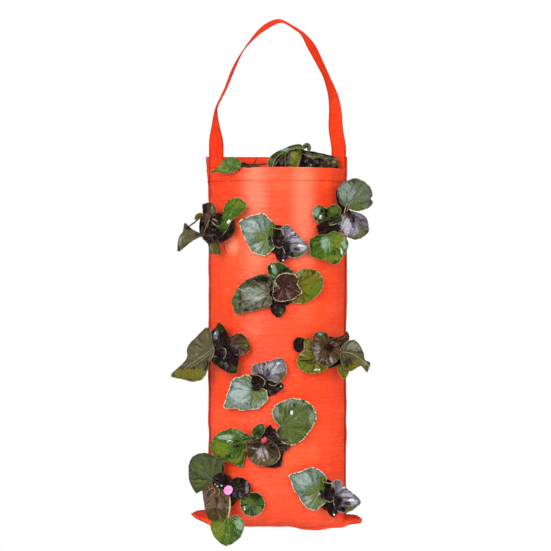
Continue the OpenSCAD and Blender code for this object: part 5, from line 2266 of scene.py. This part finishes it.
        Leaf(DARK, (248, 378, 258, 372, 272, 376, 282, 384, 276, 394, 262, 395, 252, 390), (264, 385), 4,
            cup=2),
        Leaf(SILVER_AND_SHEEN, (232, 380, 240, 377, 247, 375, 254, 381, 256, 387, 266, 390, 268, 397, 268, 400,
            264, 404, 258, 409, 250, 410, 242, 411, 236, 409, 224, 408, 226, 398, 229, 388), (256, 390), 8,
            (0.0, 0.12), cup=5, paint=((G, 257, 395, 11, 8, 0.9), (S, 240, 393, 11, 13, 0.8),
            (G, 246, 379, 4, 4, 0.8), (D, 256, 389, 6, 3, 0.9))),
        Leaf(DARK, (251, 381, 254, 375, 260, 374, 266, 378, 265, 386, 259, 389, 253, 387), (258, 385), 17,
            cup=4, wave=1.8),
        Leaf(LILAC, (252, 374, 253, 365, 260, 363, 270, 361, 279, 358, 284, 360, 287, 371, 283, 379, 279, 383,
            272, 382, 267, 380, 260, 378), (264, 379), 10, (0.0, 0.1), cup=5, fold=(45, 4), wave=2.4,
            paint=((S, 270, 369, 11, 7, 0.75), (G, 283, 376, 4, 5, 0.9), (D, 268, 374, 4, 6, 0.6),
            (W, 278, 364, 3, 3, 0.5))),
        Leaf(DARK, (266, 385, 272, 382, 279, 382, 284, 386, 280, 391, 272, 391, 267, 389), (267, 386), 13,
            paint=((W, 281, 386.5, 1.0, 1.0, 1.0),)),
    ), (
        Stem((252, 375, 259, 376, 265, 381, 263, 387), 1.2, True),
        Stem((268, 384, 274, 386, 280, 382), 1.2, True),
    )),
    Plant(8, (
        Leaf(DARK, (252, 440, 262, 436, 276, 438, 284, 446, 283, 458, 280, 467, 268, 468, 254, 462),
            (265, 448), 7, cup=3),
        Leaf(DARK, (264.5, 432, 267, 427.5, 270.4, 425.2, 272.5, 428.5, 276, 430.5, 276, 437, 270, 440,
            265.5, 437), (269, 438), 8, cup=2, fold=(80, 3)),
        Leaf(BRONZE, (274, 437, 284, 440, 291, 444, 289, 450, 281, 453, 274, 449), (275, 444), 7, cup=2,
            paint=((D, 280, 446, 8, 5, 0.9),)),
        Leaf(GREEN, (209.9, 445.7, 213, 439, 217.7, 434.3, 223, 431, 229, 429.3, 234, 429, 239, 430, 246, 434,
            253.4, 436.4, 249, 443, 244.9, 454.3, 243.4, 465.7, 239, 467, 227.7, 462.9, 217.7, 458.6,
            212, 452.9), (250, 440), 12, (0.05, 0.14), cup=-4, fold=(205, -3),
            paint=((G, 218, 450, 10, 9, 1.0), (G, 233, 462, 10, 4, 0.8), (D, 238, 444, 8, 8, 0.5),
            (D, 246, 438, 5, 5, 0.6), (S, 226, 438, 9, 3, 1.0), (W, 229, 441, 5, 2, 0.6))),
        Leaf(FOREST, (252, 434.3, 253, 429, 254.9, 427, 259, 424.3, 263, 425, 264.9, 428, 264, 432.9,
            257.7, 438.9), (258, 437), 9, paint=((D, 259, 434, 5, 3, 0.7), (S, 259, 427, 4, 2, 0.5))),
        Leaf(SAGE, (272, 414.3, 273.4, 408.6, 276, 404.5, 282, 401.4, 293.4, 398.6, 304.9, 400.7, 313.4, 407,
            316.6, 415.7, 313.4, 427, 308.5, 434, 303.4, 440, 293.4, 445.7, 284.9, 444.3, 277.7, 437,
            276.3, 430, 280, 427, 274.9, 421.4), (281, 428), 9, (0.0, 0.1), cup=4,
            paint=((S, 290, 402, 18, 5, 0.75), (S, 276, 412, 5, 9, 0.8), (S, 312, 415, 4, 11, 0.6),
            (D, 280, 434, 3, 7, 0.4), (G, 296, 432, 13, 9, 0.6), (W, 291.5, 412.5, 1.6, 2.6, 1.0))),
        Leaf(UMBER, (246, 446, 249, 442, 254, 439.5, 262, 438.6, 269, 440, 275, 444, 279, 450, 280, 458,
            276, 463, 271, 466, 262, 466.4, 254, 464.5, 248, 458), (262, 444), 15, (0.0, 0.05), cup=3,
            paint=((D, 257, 446, 5, 3, 0.8), (D, 272, 447, 4, 4, 0.7), (S, 262, 453, 6, 8, 0.65),
            (S, 256, 449, 6, 1.5, 0.6), (G, 264, 461, 15, 6, 1.0), (D, 263, 441, 8, 2, 0.5))),
    ), (
        Stem((281, 428, 274, 436, 266, 445), 2.0), Stem((290, 445, 282, 447, 272, 450), 2.0),
        Stem((288, 440, 276, 441, 268, 446), 2.2), Stem((278, 449, 280, 457, 275, 464), 1.3, True),
    )),
    Plant(9, (
        Leaf(DARK, (213, 478, 219, 473, 227, 475, 234, 482, 238, 492, 234, 502, 222, 500, 214, 490),
            (225, 489), 4, cup=2),
        Leaf(SLATE, (188.3, 470, 189.5, 463, 192, 457.5, 197, 454.5, 203.3, 453, 208.9, 454.4, 216, 457,
            223, 461.5, 223.9, 473.8, 220, 480, 213, 484, 208.3, 487.5, 203, 491, 197, 493.8, 194.5, 492.5,
            189.5, 482.5), (212.6, 481.3), 9, (0.05, 0.12), cup=3, pale=True, paint=((D, 221, 478, 4, 5, 0.8),
            (D, 223, 469, 1.5, 8, 0.8), (G, 200, 474, 10, 16, 0.35))),
        Leaf(DARK, (212, 481, 218, 474, 226, 475, 230, 482, 226, 489, 217, 490), (222, 486), 11, cup=3,
            wave=1.8, paint=((W, 215, 485.2, 0.9, 0.9, 1.0), (W, 217.3, 487, 0.9, 0.9, 1.0),
            (W, 221.4, 486.3, 1.0, 1.0, 1.0))),
        Leaf(DARK, (229.5, 486.3, 232, 480, 239.5, 477.8, 247, 481.3, 250.8, 488.8, 247, 496.3, 238.3, 499.4,
            232, 495.5), (236, 489), 10, cup=6, paint=((S, 247, 487, 2, 7, 1.0), (G, 238, 487, 6, 6, 0.6))),
        Leaf(FOREST, (240, 501.3, 242, 495, 247, 493.4, 252, 493, 259.5, 494.4, 264.5, 501.3, 263.9, 510,
            257, 516.3, 249.5, 516.9, 242, 512.5), (252, 504), 9, cup=4, wave=1.6,
            paint=((D, 254, 497, 9, 4, 0.6), (G, 249, 501, 5, 6, 0.8), (W, 244.5, 509, 0.9, 3.2, 0.8),
            (G, 259, 511, 4, 4, 0.9), (D, 251, 512, 5, 2, 0.5))),
        Leaf(GREEN, (210, 526, 214.5, 520, 223.3, 516.3, 228, 518, 237, 516.3, 243.3, 522.5, 244.5, 527.5,
            240.8, 537.5, 232, 545, 225.8, 546.9, 219.5, 543.8, 213.3, 536.3), (228, 518.5), 8, (0.0, 0.12),
            cup=4, pale=True, paint=((G, 218, 531, 8, 12, 1.0), (S, 239, 526, 5, 9, 1.0),
            (D, 234, 534, 4, 5, 0.3), (W, 236, 539, 2, 2, 0.5))),
        Leaf(COPPER, (202, 491.3, 204.5, 488.8, 210, 488, 215.8, 488, 223.3, 491.3, 229.5, 495, 230, 500,
            228.8, 507.5, 227.4, 515, 221, 520.6, 210.8, 521.9, 205.8, 515, 203.3, 501), (217, 491), 15,
            (0.0, 0.08), cup=4, paint=((D, 208, 494, 3, 4, 0.6), (S, 204, 503, 3, 10, 0.8),
            (G, 215, 516, 13, 7, 1.2), (D, 217, 500, 2, 6, 0.6), (S, 221, 507, 5, 3, 0.7))),
    ), (
        Stem((213, 488.8, 209, 490.5, 206, 495), 1.1, True),
        Stem((214, 489, 214.5, 493, 209, 497.5), 1.3, True),
        Stem((218, 489.5, 219.5, 493, 216, 498), 1.0, True),
        Stem((229.6, 498, 229.6, 508, 228.2, 519), 5.0, True),
        Stem((228, 518, 221, 527, 217, 533), 0.9, True), Stem((228, 518, 229, 530, 229, 540), 0.9, True),
        Stem((228, 518, 236, 523, 240, 529), 0.9, True),
    )),
    Plant(10, (
        Leaf(DARK, (318, 482, 328, 480, 339, 490, 340, 504, 331, 512, 321, 504), (330, 496), 4, cup=2),
        Leaf(SILVER_AND_SHEEN, (289, 476, 300, 472, 308, 469, 314, 468, 320, 471, 325, 476, 327, 480, 324, 490,
            325, 497, 326, 503, 320, 508, 317, 511, 310, 510, 305, 507, 301, 502, 298, 496, 293, 489,
            291, 482), (319, 494), 8, (0.0, 0.12), cup=5, paint=((G, 316, 496, 12, 12, 1.0),
            (S, 304, 479, 12, 10, 0.6), (S, 309, 502, 6, 5, 0.5), (D, 322, 495, 3, 7, 0.9),
            (D, 298, 474, 8, 2, 0.35), (W, 319.5, 494.5, 1.2, 1.2, 1.0))),
        Leaf(GREEN, (320, 480, 322, 477, 326, 480, 325.5, 486, 323, 492, 320.5, 488), (323, 492), 16, cup=1,
            fold=(90, 2), paint=((D, 325, 485, 1.5, 6, 0.8), (G, 323, 481, 2, 3, 0.8))),
        Leaf(DARK, (324, 493, 325, 486, 329, 484, 333, 486, 335, 493, 332, 500, 327, 502, 324, 498),
            (328, 496), 17, cup=4, wave=1.8),
        Leaf(LILAC, (332, 483, 340, 481, 345, 487, 352, 493, 359, 499, 361, 504, 353, 511, 346, 514, 338, 512,
            334, 506, 333, 495), (334, 497), 10, (-0.1, 0.1), cup=5, fold=(-25, 4), wave=2.4,
            paint=((S, 346, 493, 9, 10, 0.6), (S, 354, 503, 4, 3, 0.9), (G, 351, 510, 6, 2.5, 1.0),
            (D, 337, 502, 6, 8, 0.8), (D, 341, 510, 7, 3, 0.8), (W, 351, 501, 4, 2, 0.6),
            (W, 346, 488, 4, 2, 0.45), (D, 347, 504, 5, 2, 0.6))),
        Leaf(DARK, (326, 504, 331, 501, 336, 504, 339, 511, 335, 518, 331, 517, 327, 511), (332, 502), 13,
            paint=((W, 334, 515.5, 1.0, 1.0, 1.0),)),
    ), (
        Stem((326, 501, 330, 503, 334, 501), 1.4, True),
        Stem((323, 482, 327, 483.5, 333, 485, 335, 491), 1.2, True),
    )),
)

# Plants in the mouth of the bag
TOP_PLANTS = (
    TopPlant(0, (
        Leaf(GREEN, (209.3, 174, 213.8, 170, 219.3, 165.8, 223.8, 160, 230.4, 157, 237, 158.6, 241, 162,
            240.4, 168, 236, 171.3, 227, 173.6, 219.3, 172.6, 213.8, 172.6), (239, 165), 5, (-0.1, -0.2),
            cup=1, paint=((G, 224, 168, 8, 4, 0.5), (D, 233, 169, 6, 3, 0.4))),
        Leaf(DARK, (239, 164, 244, 162.5, 250, 164.5, 254, 164, 255, 169, 247, 171, 240, 169), (252, 168),
            -28, cup=1, paint=((G, 243, 165, 4, 2, 0.6),)),
    ), (
        Stem((240, 165, 248, 167, 256, 165, 268, 164), 3.0), Stem((250, 168, 254, 163.5, 257, 157.5), 2.0),
        Stem((246, 166, 253, 166, 262, 167), 2.4),
    ), "left", (-62.0, 42.0)),
    TopPlant(1, (
        Leaf(DARK, (268, 168, 271, 160, 278, 154, 288, 150, 300, 150, 312, 154, 322, 160, 320, 172, 296, 174,
            274, 173), (292, 168), -4, cup=2, hug=0.2, paint=((G, 290, 160, 14, 8, 0.5),)),
        Leaf(FOREST, (268, 161, 273.8, 153.6, 284.9, 148, 296, 144.3, 301.6, 145.3, 303, 149, 297, 151,
            287, 154, 279, 159, 274, 167, 269, 168), (272, 167), 12, (0.0, -0.1), cup=2, fold=(38, 3),
            hug=0.2, paint=((S, 286, 149.5, 12, 2, 0.8), (D, 279, 159, 8, 4, 0.7), (S, 271, 161, 2, 4, 0.6),
            (G, 296, 148, 6, 2, 0.8))),
        Leaf(OLIVE, (286, 153, 292, 149, 299, 149, 301, 156, 299, 166, 297, 172, 287, 172, 285, 162),
            (298, 168), 16, (0.0, -0.1), cup=-3, hug=0.2, paint=((G, 297, 164, 4, 8, 0.9),
            (D, 288, 160, 2.5, 9, 0.8), (D, 293, 150, 8, 2.5, 0.7))),
        Leaf(GREY, (302.5, 150, 302.5, 146, 306, 143, 310, 144.5, 311, 149, 308.5, 152.5, 307, 148.5,
            305, 147), (304, 150), 12, cup=2, hug=0.2, paint=((D, 306, 147, 2, 2, 0.8),
            (G, 309, 148, 2, 3, 0.7))),
        Leaf(DARK, (272, 168, 276, 161, 284, 156, 288, 162, 286, 170, 280, 174, 273, 173), (282, 170), 10,
            hug=0.2, paint=((S, 281, 162, 4, 4, 0.5),)),
    ), (
        Stem((303, 172, 301, 160, 302, 151), 2.4), Stem((272, 172, 273, 164, 278, 156, 286, 151), 1.3, True),
        Stem((297, 172, 298, 164, 301, 156), 1.3, True), Stem((268, 168, 264, 168, 256, 168), 2.4),
    ), "middle", (8.0, 10.0)),
    TopPlant(2, (
        Leaf(DARK, (300, 152, 308, 151, 320, 153, 336, 158, 338, 170, 320, 174, 302, 173), (320, 168), 1,
            hug=0.1, cup=1),
        Leaf(GREY, (300.4, 149.5, 307, 153.4, 318.2, 154.5, 329.3, 156.7, 337.7, 158.4, 334, 161.5, 322, 161,
            310, 160, 301, 157), (326, 160), 8, (0.0, -0.1), hug=0.1, wave=1.8,
            paint=((D, 303, 155, 4, 5, 0.8), (G, 318, 157, 8, 3, 0.8), (D, 329, 160, 6, 2, 0.6),
            (S, 311, 155, 5, 2, 0.6))),
        Leaf(DARK, (300, 160, 306, 157, 313, 160, 314, 168, 308, 172, 301, 171), (301, 171), 14, hug=0.1,
            cup=2, wave=2.4, fold=(40, 4), paint=((S, 307, 161, 4, 2, 0.5), (W, 311, 165, 2, 1, 0.4),
            (G, 310, 167, 4, 3, 0.5))),
        Leaf(DARK, (310, 162, 318, 158, 326, 161, 328, 170, 318, 173, 311, 171), (318, 168), 12, hug=0.1,
            wave=2, paint=((S, 316, 162, 4, 2, 0.7), (G, 322, 165, 4, 4, 0.6))),
        Leaf(BRONZE, (322, 163, 328, 159, 337, 161, 338, 167, 337, 170.5, 328, 172, 321, 170), (326, 168), 16,
            hug=0.1, wave=1.8, paint=((D, 329, 167, 8, 3, 0.7), (G, 331, 163, 5, 3, 0.8),
            (S, 334, 162, 3, 1.5, 0.7))),
    ), (
        Stem((302, 153, 308, 156, 316, 157), 1.2, True),
    ), "right", (60.0, 4.0)),
)


@dataclass
class Blooms:
    """The open flower on the ninth plant and the bud on the eighth.

    Fields:
        petals: number of petals, large and small by turns.
        petal_sizes: length, half width and forward tilt of a large and a small petal, in mm.
        petal_wall: thickness of a petal in mm.
        stamens: number of the flower's yellow grains.
        head: middle of the flower, across, in front of its plant's crown, and up, in mm.
        bud_reach: how far the bud is from its plant's crown, in mm.
        bud_radii: radii of each half of the bud, in mm.
        stalk_points: points along each stalk.
    """

    petals: int = 4
    petal_sizes: tuple[Triple, Triple] = ((8.0, 6.4, 2.6), (7.2, 5.6, 1.6))
    petal_wall: float = 0.5
    stamens: int = 16
    head: Triple = (-82.6, 30.0, -787.9)
    bud_reach: Triple = (-8.0, -17.0, 11.0)
    bud_radii: Triple = (3.5, 3.0, 4.9)
    stalk_points: int = 12

    def petal(
        self, middle: Array, turn: float, long: float, wide: float, tilt: float
    ) -> tuple[Array, list[Array]]:
        """One petal: a thin cupped oval whose width swells as the root of the sine along it.

        Args:
            middle: the flower's middle in mm.
            turn: direction of the petal, in radians.
            long: its length in mm.
            wide: its half width in mm.
            tilt: how far its tip comes forward, in mm.

        Returns:
            The points and the faces.
        """
        t, w = np.meshgrid(np.linspace(0.02, 1.0, 12), np.linspace(-1.0, 1.0, 11), indexing="ij")
        breadth = wide * np.sin(np.pi * np.clip(t * 0.93, 0, 1)) ** 0.6
        u, v = t * long * (1.0 - 0.1 * w**2), w * breadth
        out = tilt * t**1.5 + 1.4 * w**2 * t + 0.3 * np.sin(6.0 * w + 4.0 * t)
        x = middle[0] + u * math.cos(turn) - v * math.sin(turn)
        z = middle[2] + u * math.sin(turn) + v * math.cos(turn)
        grid = np.stack([x, middle[1] - out, z], -1)
        points, faces, _ = thick_sheet(grid, self.petal_wall, np.ones((11, 10), bool))
        return points, faces

    def build(self, palette: Palette) -> None:
        """Makes the flower and the bud.

        Args:
            palette: hands out the materials.
        """
        ninth, eighth = PLANTS[8].heart(), PLANTS[7].heart()
        across, out, up = self.head
        head = np.array([across, ninth[1] - out, up])
        along = np.linspace(0.0, 2.0, self.stalk_points)
        parts = MeshParts()
        path = spline(np.stack([ninth, ninth + np.array([1.0, -12.0, 1.0]), head]), along)
        parts.add(*tube(path, np.linspace(1.3, 0.9, self.stalk_points)), slot=1)
        for number in range(self.petals):
            turn = math.radians(55.0) + number * 2.0 * math.pi / self.petals
            parts.add(*self.petal(head, turn, *self.petal_sizes[number % 2]), slot=0)
        rng = np.random.default_rng(3)
        for _ in range(self.stamens):
            (x, z), out = rng.uniform(-1.3, 1.3, 2), rng.uniform(0.5, 1.8)
            parts.add(*ball(head + np.array([x, -out, z]), np.full(3, 0.6), 5, 7), slot=2)
        flower = parts.make("open_flower", [palette.get(f) for f in (Other.PETAL, Other.STALK, Other.STAMEN)])
        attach(flower, "bag")
        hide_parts("flower_petals")
        tip = eighth + np.array(self.bud_reach)
        parts = MeshParts()
        middle = (eighth + tip) / 2.0 - np.array([0.0, 2.0, 0.0])
        path = spline(np.stack([eighth, middle, tip]), along)
        parts.add(*tube(path, np.linspace(1.3, 1.0, self.stalk_points)), slot=1)
        for side in (-1.0, 1.0):
            spot = tip + np.array([side * 1.9, -0.5, 0.5 + side])
            parts.add(*ball(spot, np.array(self.bud_radii), 12, 16, 0.12, 4), slot=0)
        bud = parts.make("closed_bud", [palette.get(f) for f in (Other.BUD, Other.STALK)])
        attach(bud, "bag")
        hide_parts("flower_bud")
        log.info("open_flower: %d petals, and closed_bud", self.petals)


@dataclass(frozen=True)
class Lamp:
    """A square soft light that faces the middle of the bag.

    Fields:
        name: its name.
        place: where it stands, in metres.
        size: length of its side in metres.
        watts: its power.
        gloss: True where it casts glints.
    """

    name: str
    place: Triple
    size: float
    watts: float
    gloss: bool = False

    def build(self) -> None:
        """Adds the lamp."""
        data = bpy.data.lights.new(self.name, "AREA")
        data.shape, data.size, data.energy = "SQUARE", self.size, self.watts
        made = bpy.data.objects.new(self.name, data)
        made.location = self.place
        made.visible_glossy = self.gloss
        aim = Vector(LAMP_AIM) - Vector(self.place)
        made.rotation_euler = aim.to_track_quat("-Z", "Y").to_euler()
        bpy.context.scene.collection.objects.link(made)


LAMP_AIM = (0.0, 0.0, -0.45)
LAMPS = (
    Lamp("key_light", (-1.6, -3.7, 1.4), 2.0, 106.0, True),
    Lamp("gloss_light", (-1.3, -4.0, 0.1), 0.9, 30.0, True),
    Lamp("fill_light", (1.7, -3.8, 0.3), 2.2, 60.0),
    Lamp("top_light", (0.2, -0.3, 2.2), 1.6, 24.0),
    Lamp("back_light", (1.0, 3.4, 1.6), 2.0, 90.0),
)


@dataclass
class Studio:
    """Camera, soft lights, pale surroundings and a plain pale floor.

    Fields:
        floor_z: height of the floor in metres.
        floor_r: radius of the floor in metres.
        sensor: width of the camera's sensor in mm.
        tones: both colours of the faintly mottled floor.
        fade: where the floor starts and ends to fade, as shares of its radius.
        glow: strength of the surroundings for glossy rays, what others get more, and the camera's more.
    """

    floor_z: float = -1.16
    floor_r: float = 1.9
    sensor: float = 36.0
    tones: tuple[Colour, Colour] = ((236, 236, 236), (242, 242, 242))
    fade: Pair = (0.5, 0.98)
    glow: Triple = (0.08, 0.5, 0.42)

    def camera(self) -> None:
        """Stands the camera where the photograph was taken from."""
        data = bpy.data.cameras.new("view")
        data.sensor_width = self.sensor
        data.lens = self.sensor * VIEW_DISTANCE / VIEW_WIDTH
        data.clip_end = 100.0
        stand = bpy.data.objects.new("view", data)
        back = np.array([0.0, -math.cos(VIEW_ANGLE), math.sin(VIEW_ANGLE)])
        stand.location = (np.array([VIEW_X, 0.0, VIEW_Z]) + back * VIEW_DISTANCE) * MM
        stand.rotation_euler = (math.pi / 2.0 - VIEW_ANGLE, 0.0, 0.0)
        bpy.context.scene.collection.objects.link(stand)
        bpy.context.scene.camera = stand

    def surroundings(self) -> None:
        """Makes the pale surroundings: plain white to the camera, softer as light."""
        world = bpy.data.worlds.new("pale_room")
        bpy.context.scene.world = world
        world.use_nodes = True
        g = Graph(world.node_tree)
        paths = g.node("ShaderNodeLightPath")
        shade = world.node_tree.nodes["Background"]
        g.feed(shade.inputs["Color"], (1.0, 1.0, 1.0, 1.0))
        least, more, most = self.glow
        soft = g.times(g.minus(1.0, paths.outputs["Is Glossy Ray"]), more)
        seen = g.times(paths.outputs["Is Camera Ray"], most)
        g.feed(shade.inputs["Strength"], g.plus(g.plus(soft, seen), least))
        scene = bpy.context.scene
        scene.view_settings.view_transform = "Standard"
        scene.view_settings.look = "None"
        scene.view_settings.exposure = 0.0

    def floor(self) -> None:
        """Makes the floor: a flat round below the bag, which fades into the pale room at its rim."""
        rings, around = 6, 72
        r, a = np.meshgrid(
            np.linspace(0.0, self.floor_r, rings)[1:], 2.0 * np.pi * np.arange(around) / around, indexing="ij"
        )
        sheet = np.stack([r * np.cos(a), r * np.sin(a), np.full(r.shape, self.floor_z)], -1).reshape(-1, 3)
        material, g, shader = new_material("pale_floor")
        place = g.node("ShaderNodeTexCoord").outputs["Object"]
        tone = g.noise(place, 3.0, 2.0)
        g.feed(shader.inputs["Base Color"], g.cover(linear(self.tones[0]), [(tone, self.tones[1])]))
        shader.inputs["Roughness"].default_value = 0.9
        reach = g.node("ShaderNodeVectorMath", {0: g.stretch(place, (1.0, 1.0, 0.0))}, operation="LENGTH")
        start, end = (share * self.floor_r for share in self.fade)
        away = g.step(reach.outputs["Value"], start, end)
        clear = g.node("ShaderNodeBsdfTransparent")
        blend = g.node("ShaderNodeMixShader", {0: away, 1: shader.outputs[0], 2: clear.outputs[0]})
        g.feed(material.node_tree.nodes["Material Output"].inputs[0], blend.outputs[0])
        parts = MeshParts()
        points = np.vstack([[[0.0, 0.0, self.floor_z]], sheet]) / MM
        parts.add(points, [fan_faces(around), grid_faces(rings - 1, around, True)[:, ::-1] + 1])
        floor = parts.make("floor", [material])
        floor.visible_glossy = False

    def build(self) -> None:
        """Makes the whole studio."""
        self.camera()
        self.surroundings()
        for lamp in LAMPS:
            lamp.build()
        self.floor()
        log.info("studio ready")


def main() -> None:
    logging.basicConfig(level=logging.INFO, format="%(name)s: %(message)s")
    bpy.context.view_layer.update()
    palette = Palette(Effects())
    Studio().build()
    Strap().build(palette)
    front = Panel("front_panel_cloth", "front_panel", -1.0, FRONT_RIM, FRONT_SHEENS, HOLES, 11, 4.5)
    back = Panel("back_panel_cloth", "back_panel", 1.0, BACK_RIM, BACK_SHEENS, seed=51)
    for piece in (front, back, Filling(), *PLANTS, *TOP_PLANTS, Blooms()):
        piece.build(palette)
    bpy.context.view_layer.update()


if __name__ == "__main__":
    main()
